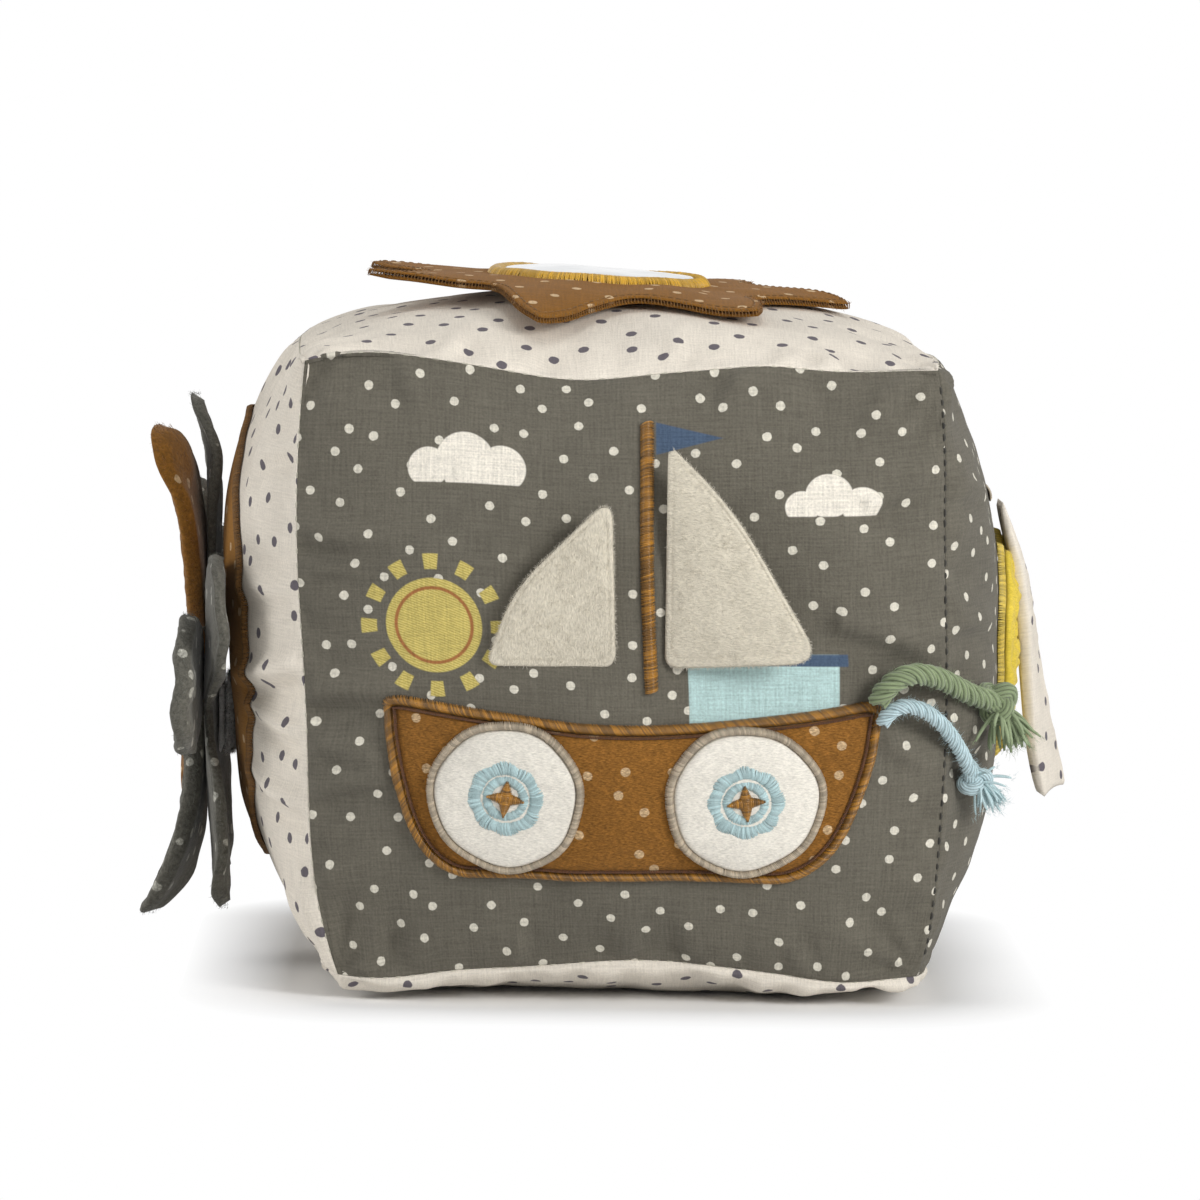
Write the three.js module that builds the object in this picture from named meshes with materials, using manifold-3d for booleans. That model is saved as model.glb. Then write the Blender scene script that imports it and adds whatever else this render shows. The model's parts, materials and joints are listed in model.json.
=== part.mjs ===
// A soft activity cube: six sewn cotton panels over two wads of filling, with a rattle capsule inside,
// appliqué patches, cloth flowers, terry flaps and knotted cords on its faces.
// Millimetres, +Z up. The front face looks along -Y. The origin is the middle of the flat resting face.
import * as THREE from 'three';
import Module from 'manifold-3d';
import { mergeVertices } from 'three/addons/utils/BufferGeometryUtils.js';

const wasm = await Module();
wasm.setup();

// Driving dimensions of the stuffed body
const BODY_HALF = 57; // middle of the cube to a vertical seam
const BODY_HALF_HEIGHT = 56; // middle of the cube to the upper and lower seams
const LEFT_BULGE = 14;
const RIGHT_BULGE = 14;
const FRONT_BULGE = 12;
const BACK_BULGE = 12;
const TOP_BULGE = 12;
const BOTTOM_BULGE = 7;
const CROWN_POWER = 2.9; // higher keeps a face flatter in its middle and rounder at its seams
const BASE_FLAT_DEPTH = 0.5; // how much of the bottom's crown is pressed flat
const TOP_WIDER = 0.022; // share by which the top is wider than the middle
const LEAN = -1.6; // sideways shift of the top seams
const SEAM_DIP = 1.8; // the upper and lower seams draw towards each other in their middle
const SEAM_BOW = 1.0; // the upright seams bow outwards in their middle
const LOWER_CORNER_DRAW = 3.2; // how far the lower corners are drawn in
const LOWER_CORNER_LIFT = 0.15; // share of that drawing-in that also lifts them
const UPPER_CORNER_DRAW = 1.4;
const CORNER_REACH = 5; // higher keeps the drawing-in nearer the corner

// Cloth, seams and filling
const PANEL_THICK = 1.2;
const SEAM_GAP = 0.3;
const CLEAR = 0.3; // between pieces that touch
const WAD_CLEAR = 0.45; // from the inside of a panel to the filling

// Rattle capsule and its beads
const CAPSULE_RADIUS = 15;
const CAPSULE_WALL = 1.5;
const BEAD_RADIUS = 2.2;
const BEAD_RING_RADIUS = 5.6;
const BEADS_IN_RING = 4;

// Boat patch on the front face: u is along +X and v along +Z from the middle of the face
const HULL_LENGTH = 86;
const HULL_DEPTH = 32;
const HULL_RISE = 6; // how far the bow and stern stand above the middle of the deck
const HULL_MIDDLE = [1, -21];
const HULL_KEEL_SHARE = 0.66; // flat part of the keel as a share of the hull's length
const EDGE_SHARE = 0.6; // a padded patch's thickness at its edge as a share of its middle's
const VELOUR_THICK = 1.6;
const BORDER_WIDTH = 2.2;
const BORDER_HEIGHT = 1.3;

// Round portholes sewn over the hull
const PORTHOLE_RADIUS = 13.2;
const PORTHOLE_THICK = 1.4;
const PORTHOLE_RIM_WIDTH = 1.8;
const PORTHOLE_SPACING = 42;
const PORTHOLE_MIDDLE = [0, -22.3];
const ROSETTE_RADIUS = 6.2;
const ROSETTE_LOBES = 8;
const ROSETTE_LOBE_HEIGHT = 0.55;
const ROSETTE_THICK = 0.7;
const ROSETTE_LOBE_POINTS = 4;
const STAR_RADIUS = 3.2;
const STAR_THICK = 0.5;
const STAR_ARMS = 4;
const STAR_VALLEY_SHARE = 0.4;
const STAR_POINT = 1.1; // near 1 for straight-sided arms

// Mast and the two terry sails
const MAST_U = 5;
const MAST_WIDTH = 2.4;
const MAST_HEIGHT = 1.4;
const MAST_FOOT_V = -2;
const MAST_TOP_V = 46.5;
const SAIL_THICK = 2.6;
const SAIL_SEAM_THICK = 1.2;
const SAIL_BELLY = 1.2;
const MAINSAIL_LUFF = 40;
const MAINSAIL_FOOT = 28;
const MAINSAIL_FOOT_V = 2;
const MAINSAIL_ROUNDING = [2.5, 6, 9, 2.5]; // from the lower inner corner round to the top
const MAINSAIL_LEAN = 5; // degrees that the free edge stands off the face at rest
const JIB_FOOT = 23;
const JIB_LUFF = 31;
const JIB_GAP = 6.5; // from the mast's middle line to the jib's nearest corner
const JIB_FOOT_V = 1.5;
const JIB_ROUNDING = [2.5, 5, 7, 2.5];
const JIB_LEAN = 6;
const SAIL_SEAM_CLEAR = 1.0; // from the panel to a sail's hinge line

// Cords: each route's points are hand-placed, from the exit beside the hull to the knot
const GREEN_DIAMETER = 4;
const BLUE_DIAMETER = 2.8;
const GREEN_ROUTE = [
  [45.4, -66.2, 56.6], [46.3, -67.0, 58.3], [47.6, -67.6, 59.8], [49.3, -67.5, 60.9],
  [51.3, -66.6, 61.5], [53.6, -65.0, 61.3], [56.0, -62.6, 60.6], [58.6, -59.8, 59.3],
  [61.3, -57.0, 57.7], [63.9, -53.9, 56.4], [66.4, -50.8, 55.5],
];
const BLUE_ROUTE = [
  [46.4, -64.9, 52.6], [47.2, -65.6, 54.0], [48.4, -66.0, 55.1], [50.2, -65.8, 55.7],
  [52.2, -64.9, 55.4], [54.3, -63.6, 54.5], [56.4, -62.0, 52.9], [58.4, -60.0, 50.8],
  [60.2, -57.9, 48.3], [61.8, -55.7, 45.6], [63.3, -53.5, 42.8],
];
const GREEN_TASSEL_HANG = [0.45, -0.15, -0.85];
const BLUE_TASSEL_HANG = [0.7, 0, -0.7];
const KNOT_SHARE = 0.8; // a knot's radius as a share of its cord's diameter
const KNOT_FLAT_SHARE = 0.9; // from a knot's middle to its flat side, as a share of its radius
const TASSEL_LENGTH_SHARE = 1.6; // of its cord's diameter, as is the next
const TASSEL_TIP_SHARE = 0.85;

// Flower with a mirror on the top face: u is along +X and v along +Y
const TOP_FLOWER_MIDDLE = [-2.3, -4];
const TOP_FLOWER_RADIUS = 45;
const TOP_FLOWER_VALLEY = 31;
const TOP_FLOWER_PETALS = 7;
const TOP_FLOWER_TURN = -0.035;
const TOP_FLOWER_TILT = 0.05; // rise towards the left for each millimetre
const TOP_PETAL_POINT = 1.25; // near 1 for a pointed petal, higher for a rounder one
const TOP_LAYER_THICK = 1.1;
const TOP_PETAL_LIFT = 4.5; // of the tips on the left
const TOP_PETAL_LEAST_LIFT = 0.8; // of the tips on the right
const MIRROR_RADIUS = 16.5;
const MIRROR_THICK = 0.8;
const MIRROR_RING_WIDTH = 3.0;

// Left face: u is along -Y and v along +Z
const LEFT_PATCH_RADIUS = 43;
const LEFT_PATCH_MIDDLE = [-5, 0];
const LEFT_PATCH_THICK = 0.7;
const TAPE_WIDTH = 16;
const TAPE_HEIGHT = 14;
const TAPE_DROP = 14.5; // from the middle of the face down to the middle of the tapes
const LOOP_TAPE_THICK = 1.4;
const HOOK_TAPE_THICK = 1.2;

// Loose flower beside the left face: a grey inner layer, then five padded petals and a round middle
const SIDE_FLOWER_DROP = 5;
const INNER_PETAL_THICK = 1.8;
const INNER_RADIUS = 51;
const INNER_VALLEY = 24;
const INNER_TURN = 90; // degrees from the front round to the first petal
const INNER_PETAL_POINT = 2.4; // near 1 for a pointed petal, higher for a rounder one
const INNER_CURL = 3; // of the upright petals' tips, away from the cube
const OUTER_PETAL_THICK = 3.6;
const OUTER_PETAL_LENGTH = 41;
const OUTER_PETAL_WIDTH = 27;
const OUTER_PETAL_ROOT = 7; // from the flower's middle to a petal's root
const OUTER_ROOT_SHARE = 0.62; // a petal's width at its root as a share of an even leaf's
const OUTER_TURN = -2;
const OUTER_CURL = 6.5; // of the upright petals' tips, away from the cube
const LEVEL_CURL = 0.5; // the same for the level petals
const SIDE_PETALS = 5;
const SIDE_MIDDLE_RADIUS = 6.2;
const SIDE_MIDDLE_THICK = 3;

// Right face: u is along +Y and v along +Z
const YELLOW_RADIUS = 20.5;
const YELLOW_WAVES = 9;
const YELLOW_WAVE_HEIGHT = 1.1;
const LONG_FLAP_LENGTH = 56.5;
const LONG_FLAP_WIDTH = 15;
const LONG_FLAP_THICK = 3.6;
const LONG_FLAP_SEAM_THICK = 1.4;
const LONG_FLAP_TOP_V = 27;
const LONG_FLAP_LEAN = 12;
const LONG_FLAP_TWIST = 14; // degrees that its lower end is turned towards the front
const LONG_FLAP_ROOT_CLEAR = 2.9; // from the panel to the flap's hinge line
const BAR_TACK_WIDTH = 11;
const BAR_TACK_HEIGHT = 2.2;

// Counts that set how finely curved pieces are faceted
const PANEL_CELLS = 10;
const WAD_CELLS = 8;
const CAPSULE_SIDES = 20;
const CAPSULE_RINGS = 6;
const HULL_POINTS = 49;
const PORTHOLE_POINTS = 24;
const SAIL_POINTS = 25;
const MAST_CELLS = 12;
const CORD_SIDES = 8;
const CORD_STEPS = 14;
const KNOT_SIDES = 12;
const TASSEL_SIDES = 10;
const PETAL_POINTS = 8;
const LEFT_PATCH_POINTS = 32;
const TAPE_POINTS = 17;
const OUTER_PETAL_POINTS = 19;
const WAVE_POINTS = 5;
const LONG_FLAP_POINTS = 29;
const BAR_TACK_POINTS = 16;

const BOTTOM_DEPTH = BODY_HALF_HEIGHT + BOTTOM_BULGE; // before its seams are drawn together
const CENTRE_Z = BOTTOM_DEPTH - SEAM_DIP * BOTTOM_DEPTH / BODY_HALF_HEIGHT - BASE_FLAT_DEPTH;

const COLOURS = {
  grey_cotton: 0x6a685d, cream_cotton: 0xddd6cb, filling: 0xf2f0ea, brown_velour: 0x95632f,
  gold_thread: 0xa8741f, white_velour: 0xdcd7cf, beige_thread: 0xa89c8c, blue_thread: 0xa8c4c6,
  white_terry: 0xd9d5cb, green_cord: 0x8c9f7c, blue_cord: 0xb4ced4, brown_cotton: 0x9a6632,
  mirror_foil: 0xd8dadb, mustard_thread: 0xc9a227, white_tape: 0xe4e1dc, grey_velour: 0x63645c,
  yellow_velour: 0xd6bf4a, capsule_plastic: 0xe8e8e6, bead_plastic: 0xc94f3d,
};

// Faces of the cube: the outward axis, then the two axes that run along the face
const FACES = {
  front: { out: [0, -1, 0], u: [1, 0, 0], v: [0, 0, 1], bulge: FRONT_BULGE },
  back: { out: [0, 1, 0], u: [-1, 0, 0], v: [0, 0, 1], bulge: BACK_BULGE },
  left: { out: [-1, 0, 0], u: [0, -1, 0], v: [0, 0, 1], bulge: LEFT_BULGE },
  right: { out: [1, 0, 0], u: [0, 1, 0], v: [0, 0, 1], bulge: RIGHT_BULGE },
  top: { out: [0, 0, 1], u: [1, 0, 0], v: [0, 1, 0], bulge: TOP_BULGE },
  bottom: { out: [0, 0, -1], u: [-1, 0, 0], v: [0, 1, 0], bulge: BOTTOM_BULGE },
};

function vector(list) {
  return new THREE.Vector3(...list);
}

// How much of a face's bulge is reached at a share of the way from its middle (0) to its seam (1)
function crown(share) {
  return 1 - Math.min(1, Math.abs(share)) ** CROWN_POWER;
}

// Turns a point of the regular stuffed cube into the slightly uneven real one
function settle(point) {
  const rise = point.z / BODY_HALF_HEIGHT;
  const aside = Math.min(1, Math.abs(point.x) / BODY_HALF);
  const deep = Math.min(1, Math.abs(point.y) / BODY_HALF);
  const up = Math.min(1, Math.abs(rise));
  const draw = (rise < 0 ? LOWER_CORNER_DRAW : UPPER_CORNER_DRAW) * (aside * deep * up) ** CORNER_REACH;
  const bow = SEAM_BOW * aside * (1 - up * up);
  const dip = SEAM_DIP * rise * (1 - aside * aside);
  const lift = rise < 0 ? draw * LOWER_CORNER_LIFT : -draw;
  return new THREE.Vector3(
    point.x * (1 + TOP_WIDER * rise) + LEAN * rise + Math.sign(point.x) * (bow - draw),
    point.y - Math.sign(point.y) * draw,
    point.z - dip + lift + CENTRE_Z,
  );
}

// A point of the stuffed cube's skin. s and t run from -1 to 1 across the face, and the skin is drawn
// in by inset towards the middle.
function skin(name, s, t, inset = 0) {
  const face = FACES[name];
  const upright = name !== 'top' && name !== 'bottom';
  const half = BODY_HALF - inset;
  const halfHeight = BODY_HALF_HEIGHT - inset;
  const outward = (upright ? half : halfHeight) + face.bulge * crown(s) * crown(t);
  const point = vector(face.out).multiplyScalar(outward)
    .addScaledVector(vector(face.u), s * half)
    .addScaledVector(vector(face.v), t * (upright ? halfHeight : half));
  const placed = settle(point);
  placed.z = Math.max(placed.z, inset);
  return placed;
}

// The point at lift above the skin, over a place given in millimetres from the middle of the face
function above(name, u, v, lift = 0) {
  const upright = name !== 'top' && name !== 'bottom';
  const s = u / BODY_HALF;
  const t = v / (upright ? BODY_HALF_HEIGHT : BODY_HALF);
  const step = 0.01;
  const along = skin(name, s + step, t).sub(skin(name, s - step, t));
  const across = skin(name, s, t + step).sub(skin(name, s, t - step));
  const normal = along.cross(across).normalize();
  if (normal.dot(vector(FACES[name].out)) < 0) {
    normal.negate();
  }
  return skin(name, s, t).addScaledVector(normal, lift);
}

function geometryFrom(points, triangles) {
  const geometry = new THREE.BufferGeometry();
  const numbers = points.flatMap((p) => [p.x, p.y, p.z]);
  geometry.setAttribute('position', new THREE.Float32BufferAttribute(numbers, 3));
  geometry.setIndex(triangles);
  return volumeOf(geometry) < 0 ? flipped(geometry) : geometry;
}

function volumeOf(geometry) {
  const at = geometry.getAttribute('position');
  const index = geometry.getIndex().array;
  let total = 0;
  for (let i = 0; i < index.length; i += 3) {
    const [a, b, c] = [0, 1, 2].map((k) => new THREE.Vector3().fromBufferAttribute(at, index[i + k]));
    total += a.dot(b.cross(c)) / 6;
  }
  return total;
}

function flipped(geometry) {
  const index = Array.from(geometry.getIndex().array);
  for (let i = 0; i < index.length; i += 3) {
    [index[i], index[i + 1]] = [index[i + 1], index[i]];
  }
  geometry.setIndex(index);
  return geometry;
}

// Side of a band between two rows of points given by their first numbers in the list
function joinRows(triangles, first, second, count, closed) {
  const last = closed ? count : count - 1;
  for (let i = 0; i < last; i += 1) {
    const j = (i + 1) % count;
    triangles.push(first + i, second + i, second + j, first + i, second + j, first + j);
  }
}

// One sewn panel: the skin, its inside one cloth thickness deeper, and the raw edges between them
function panel(name) {
  const share = 1 - SEAM_GAP / (Math.SQRT2 * BODY_HALF);
  const row = PANEL_CELLS + 1;
  const points = [];
  const triangles = [];
  for (const inset of [0, PANEL_THICK]) {
    for (let j = 0; j < row; j += 1) {
      for (let i = 0; i < row; i += 1) {
        const s = share * (2 * i / PANEL_CELLS - 1);
        const t = share * (2 * j / PANEL_CELLS - 1);
        points.push(skin(name, s, t, inset));
      }
    }
  }
  const inner = row * row;
  for (let j = 0; j < PANEL_CELLS; j += 1) {
    for (let i = 0; i < PANEL_CELLS; i += 1) {
      const a = j * row + i;
      const b = inner + a;
      triangles.push(a, a + 1, a + row + 1, a, a + row + 1, a + row);
      triangles.push(b, b + row + 1, b + 1, b, b + row, b + row + 1);
    }
  }
  const rim = edgeOfGrid(row);
  for (let k = 0; k < rim.length; k += 1) {
    const a = rim[k];
    const b = rim[(k + 1) % rim.length];
    triangles.push(b, a, inner + a, b, inner + a, inner + b);
  }
  return geometryFrom(points, triangles);
}

function edgeOfGrid(row) {
  const rim = [];
  const last = row - 1;
  for (let k = 0; k < last; k += 1) {
    rim.push(k);
  }
  for (let k = 0; k < last; k += 1) {
    rim.push(k * row + last);
  }
  for (let k = last; k > 0; k -= 1) {
    rim.push(last * row + k);
  }
  for (let k = last; k > 0; k -= 1) {
    rim.push(k * row);
  }
  return rim;
}

function toManifold(geometry) {
  const bare = geometry.clone();
  bare.deleteAttribute('normal');
  bare.deleteAttribute('uv');
  const merged = mergeVertices(bare, 1e-4);
  return new wasm.Manifold(new wasm.Mesh({
    numProp: 3,
    vertProperties: new Float32Array(merged.getAttribute('position').array),
    triVerts: new Uint32Array(merged.getIndex().array),
  }));
}

function fromManifold(solid) {
  const mesh = solid.getMesh();
  const geometry = new THREE.BufferGeometry();
  geometry.setAttribute('position', new THREE.BufferAttribute(mesh.vertProperties, 3));
  geometry.setIndex(new THREE.BufferAttribute(mesh.triVerts, 1));
  return geometry;
}

// The whole filling as one stuffed body, drawn in from the panels
function wadBody() {
  const inset = PANEL_THICK + WAD_CLEAR;
  const row = WAD_CELLS + 1;
  const points = [];
  const triangles = [];
  for (const name of Object.keys(FACES)) {
    const first = points.length;
    for (let j = 0; j < row; j += 1) {
      for (let i = 0; i < row; i += 1) {
        points.push(skin(name, 2 * i / WAD_CELLS - 1, 2 * j / WAD_CELLS - 1, inset));
      }
    }
    for (let j = 0; j < WAD_CELLS; j += 1) {
      for (let i = 0; i < WAD_CELLS; i += 1) {
        const a = first + j * row + i;
        triangles.push(a, a + 1, a + row + 1, a, a + row + 1, a + row);
      }
    }
  }
  return geometryFrom(points, triangles);
}

// A wad is half of the filling, with a hollow for half of the capsule
function wads() {
  const whole = toManifold(wadBody());
  const hollow = new THREE.SphereGeometry(CAPSULE_RADIUS + CLEAR, CAPSULE_SIDES, CAPSULE_SIDES / 2);
  hollow.rotateX(Math.PI / 2);
  hollow.translate(0, 0, CENTRE_Z);
  const size = 4 * BODY_HALF;
  const half = (sign) => {
    const box = new THREE.BoxGeometry(size, size, size);
    box.translate(0, 0, CENTRE_Z + sign * (size / 2 + CLEAR / 2));
    return toManifold(box);
  };
  const hollowed = whole.subtract(toManifold(hollow));
  return [hollowed.intersect(half(-1)), hollowed.intersect(half(1))].map(fromManifold);
}

// Half of the capsule, open at the middle, where the two halves snap together
function capsuleHalf(sign) {
  const outer = CAPSULE_RADIUS;
  const inner = CAPSULE_RADIUS - CAPSULE_WALL;
  const profile = [];
  const lip = CLEAR / 2;
  for (let k = 0; k <= CAPSULE_RINGS; k += 1) {
    const angle = (Math.PI / 2) * (k / CAPSULE_RINGS);
    profile.push(new THREE.Vector2(outer * Math.sin(angle), Math.max(lip, outer * Math.cos(angle))));
  }
  for (let k = CAPSULE_RINGS; k >= 0; k -= 1) {
    const angle = (Math.PI / 2) * (k / CAPSULE_RINGS);
    profile.push(new THREE.Vector2(inner * Math.sin(angle), Math.max(lip, inner * Math.cos(angle))));
  }
  const half = new THREE.LatheGeometry(profile, CAPSULE_SIDES);
  half.rotateX(sign * Math.PI / 2);
  half.translate(0, 0, CENTRE_Z);
  return solidOf(half);
}

// Merges a closed geometry's shared points, so that it is one indexed body with its faces out
function solidOf(geometry) {
  const bare = geometry.clone();
  bare.deleteAttribute('normal');
  bare.deleteAttribute('uv');
  const merged = mergeVertices(bare, 1e-4);
  const index = Array.from(merged.getIndex().array);
  const kept = [];
  for (let i = 0; i < index.length; i += 3) {
    const [a, b, c] = index.slice(i, i + 3);
    if (a !== b && b !== c && c !== a) {
      kept.push(a, b, c);
    }
  }
  merged.setIndex(kept);
  return volumeOf(merged) < 0 ? flipped(merged) : merged;
}

// One bead on the capsule's floor and a ring of them round it
function beadPlaces() {
  const floor = CENTRE_Z - CAPSULE_RADIUS + CAPSULE_WALL;
  const reach = CAPSULE_RADIUS - CAPSULE_WALL - BEAD_RADIUS - CLEAR;
  const drop = Math.sqrt(reach * reach - BEAD_RING_RADIUS * BEAD_RING_RADIUS);
  const places = [[0, 0, floor + BEAD_RADIUS + CLEAR]];
  for (let k = 0; k < BEADS_IN_RING; k += 1) {
    const angle = 2 * Math.PI * k / BEADS_IN_RING;
    places.push([BEAD_RING_RADIUS * Math.cos(angle), BEAD_RING_RADIUS * Math.sin(angle), CENTRE_Z - drop]);
  }
  return places;
}

// A padded patch whose outline is seen from its middle. Its underside and top are heights that depend on
// the share of the way from the middle (0) to the outline (1) and on the distance from the middle, and
// place turns (u, v, height) into a point.
function patch(outline, middle, rings, low, high, place) {
  const count = outline.length;
  const points = [];
  const triangles = [];
  for (const height of [low, high]) {
    points.push(place(middle[0], middle[1], height(0, 0)));
    for (let k = 1; k <= rings; k += 1) {
      const share = k / rings;
      outline.forEach(([u, v]) => {
        const du = share * (u - middle[0]);
        const dv = share * (v - middle[1]);
        points.push(place(middle[0] + du, middle[1] + dv, height(share, Math.hypot(du, dv))));
      });
    }
  }
  const top = 1 + rings * count;
  for (const first of [0, top]) {
    const facing = first === 0 ? 1 : -1;
    for (let i = 0; i < count; i += 1) {
      const a = first + 1 + i;
      const b = first + 1 + (i + 1) % count;
      triangles.push(...(facing > 0 ? [first, b, a] : [first, a, b]));
    }
    for (let k = 1; k < rings; k += 1) {
      const inner = first + 1 + (k - 1) * count;
      if (facing > 0) {
        joinRows(triangles, inner + count, inner, count, true);
      } else {
        joinRows(triangles, inner, inner + count, count, true);
      }
    }
  }
  joinRows(triangles, top + 1 + (rings - 1) * count, 1 + (rings - 1) * count, count, true);
  return geometryFrom(points, triangles);
}

// A raised band of stitches along a closed outline
function stitchedBand(outline, width, low, height, place) {
  const section = [[-0.5, 0], [-0.5, 0.45], [-0.2, 1], [0.2, 1], [0.5, 0.45], [0.5, 0]];
  const count = outline.length;
  const points = [];
  const triangles = [];
  for (const [aside, rise] of section) {
    offsetOutline(outline, aside * width).forEach(([u, v]) => {
      points.push(place(u, v, low + rise * height));
    });
  }
  for (let k = 0; k < section.length; k += 1) {
    joinRows(triangles, k * count, ((k + 1) % section.length) * count, count, true);
  }
  return geometryFrom(points, triangles);
}

// Moves a closed outline outwards by distance, or inwards where it is negative
function offsetOutline(outline, distance) {
  const count = outline.length;
  return outline.map(([u, v], i) => {
    const [pu, pv] = outline[(i + count - 1) % count];
    const [nu, nv] = outline[(i + 1) % count];
    const length = Math.hypot(nu - pu, nv - pv);
    return [u + distance * (nv - pv) / length, v - distance * (nu - pu) / length];
  });
}

// Points evenly spaced along a closed smooth line, in turning order
function roundOutline(radiusAt, middle, count, turn = 0) {
  return Array.from({ length: count }, (_, i) => {
    const angle = 2 * Math.PI * i / count;
    const radius = radiusAt(angle);
    return [middle[0] + radius * Math.cos(angle + turn), middle[1] + radius * Math.sin(angle + turn)];
  });
}

function circle(radius, middle, count) {
  return roundOutline(() => radius, middle, count);
}

// Petals between a valley and a tip radius. A point near 1 gives straight-sided petals.
function flowerOutline(tip, valley, petals, point, middle, turn) {
  const count = petals * PETAL_POINTS;
  return roundOutline((angle) => {
    const wave = 1 - Math.abs(Math.sin(petals * angle / 2)) ** point;
    return valley + (tip - valley) * wave;
  }, middle, count, turn);
}

function onFace(name) {
  return (u, v, lift) => above(name, u, v, lift);
}

// Boat hull: a deck line that rises to both ends and a rounded keel, from stern to bow and back
function hullOutline() {
  const half = HULL_LENGTH / 2;
  const [mu, mv] = HULL_MIDDLE;
  const deck = mv + HULL_DEPTH / 2 - HULL_RISE;
  const keel = mv - HULL_DEPTH / 2;
  const line = new THREE.Shape();
  line.moveTo(mu - half * HULL_KEEL_SHARE, keel);
  line.lineTo(mu + half * (HULL_KEEL_SHARE - 0.08), keel);
  line.bezierCurveTo(
    mu + half * 0.86, keel,
    mu + half * 0.96, keel + HULL_DEPTH * 0.5,
    mu + half, deck + HULL_RISE * 0.8,
  );
  line.quadraticCurveTo(mu + half, deck + HULL_RISE, mu + half - 3, deck + HULL_RISE * 0.95);
  line.quadraticCurveTo(mu, deck - HULL_RISE * 0.4, mu - half + 3, deck + HULL_RISE * 0.95);
  line.quadraticCurveTo(mu - half, deck + HULL_RISE, mu - half, deck + HULL_RISE * 0.8);
  line.bezierCurveTo(
    mu - half * 0.98, keel + HULL_DEPTH * 0.5,
    mu - half * 0.9, keel,
    mu - half * HULL_KEEL_SHARE, keel,
  );
  return line.getSpacedPoints(HULL_POINTS).slice(0, -1).map((p) => [p.x, p.y]);
}

// Height of a padded top: full in the middle and thinner at the edge
function padded(low, thick) {
  return (share) => low + thick * (EDGE_SHARE + (1 - EDGE_SHARE) * (1 - share ** 4));
}

function flat(height) {
  return () => height;
}

function velourPatch(outline, middle, rings, place) {
  return patch(outline, middle, rings, flat(CLEAR), padded(CLEAR, VELOUR_THICK), place);
}

const group = new THREE.Group();
const THREAD_FINISH = { roughness: 0.5 };

function add(name, geometry, colour, finish = {}) {
  const material = new THREE.MeshStandardMaterial({
    color: COLOURS[colour], roughness: finish.roughness ?? 0.9, metalness: finish.metalness ?? 0,
  });
  const mesh = new THREE.Mesh(geometry, material);
  mesh.name = name;
  group.add(mesh);
  return mesh;
}

function addBody() {
  for (const name of Object.keys(FACES)) {
    const grey = name === 'front' || name === 'right' || name === 'back';
    add(`${name}_panel`, panel(name), grey ? 'grey_cotton' : 'cream_cotton');
  }
  const [lower, upper] = wads();
  add('filling_lower', lower, 'filling');
  add('filling_upper', upper, 'filling');
  add('rattle_capsule_lower', capsuleHalf(-1), 'capsule_plastic', { roughness: 0.35 });
  add('rattle_capsule_upper', capsuleHalf(1), 'capsule_plastic', { roughness: 0.35 });
  beadPlaces().forEach((place, i) => {
    const bead = solidOf(new THREE.IcosahedronGeometry(BEAD_RADIUS, 1));
    add(`rattle_bead_${i + 1}`, bead, 'bead_plastic', { roughness: 0.3 }).position.set(...place);
  });
}

function addHull() {
  const line = hullOutline();
  const inner = offsetOutline(line, -BORDER_WIDTH / 2 - CLEAR);
  const place = onFace('front');
  const border = stitchedBand(line, BORDER_WIDTH, CLEAR, BORDER_HEIGHT, place);
  add('hull_patch', velourPatch(inner, HULL_MIDDLE, 4, place), 'brown_velour');
  add('hull_border', border, 'gold_thread', THREAD_FINISH);
}

// A disc of velour over the hull and its border, its stitched rim, and a rosette and star in its middle
function addPorthole(side) {
  const name = side < 0 ? 'left' : 'right';
  const low = CLEAR + VELOUR_THICK + CLEAR;
  const middle = [PORTHOLE_MIDDLE[0] + side * PORTHOLE_SPACING / 2, PORTHOLE_MIDDLE[1]];
  const place = onFace('front');
  const rimLine = circle(PORTHOLE_RADIUS, middle, PORTHOLE_POINTS);
  const disc = circle(PORTHOLE_RADIUS - PORTHOLE_RIM_WIDTH / 2 - CLEAR, middle, PORTHOLE_POINTS);
  const discTop = padded(low, PORTHOLE_THICK);
  const rosetteLow = discTop(0) + CLEAR;
  const rosette = roundOutline(
    (angle) => ROSETTE_RADIUS + ROSETTE_LOBE_HEIGHT * Math.cos(ROSETTE_LOBES * angle),
    middle,
    ROSETTE_LOBES * ROSETTE_LOBE_POINTS,
  );
  const starValley = STAR_RADIUS * STAR_VALLEY_SHARE;
  const star = flowerOutline(STAR_RADIUS, starValley, STAR_ARMS, STAR_POINT, middle, 0);
  const starLow = rosetteLow + ROSETTE_THICK + CLEAR;
  const rim = stitchedBand(rimLine, PORTHOLE_RIM_WIDTH, low, BORDER_HEIGHT, place);
  add(`${name}_porthole`, patch(disc, middle, 2, flat(low), discTop, place), 'white_velour');
  add(`${name}_porthole_rim`, rim, 'beige_thread', THREAD_FINISH);
  add(
    `${name}_porthole_rosette`,
    patch(rosette, middle, 1, flat(rosetteLow), flat(rosetteLow + ROSETTE_THICK), place),
    'blue_thread',
    THREAD_FINISH,
  );
  add(
    `${name}_porthole_star`,
    patch(star, middle, 1, flat(starLow), flat(starLow + STAR_THICK), place),
    'gold_thread',
    THREAD_FINISH,
  );
}

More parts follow.
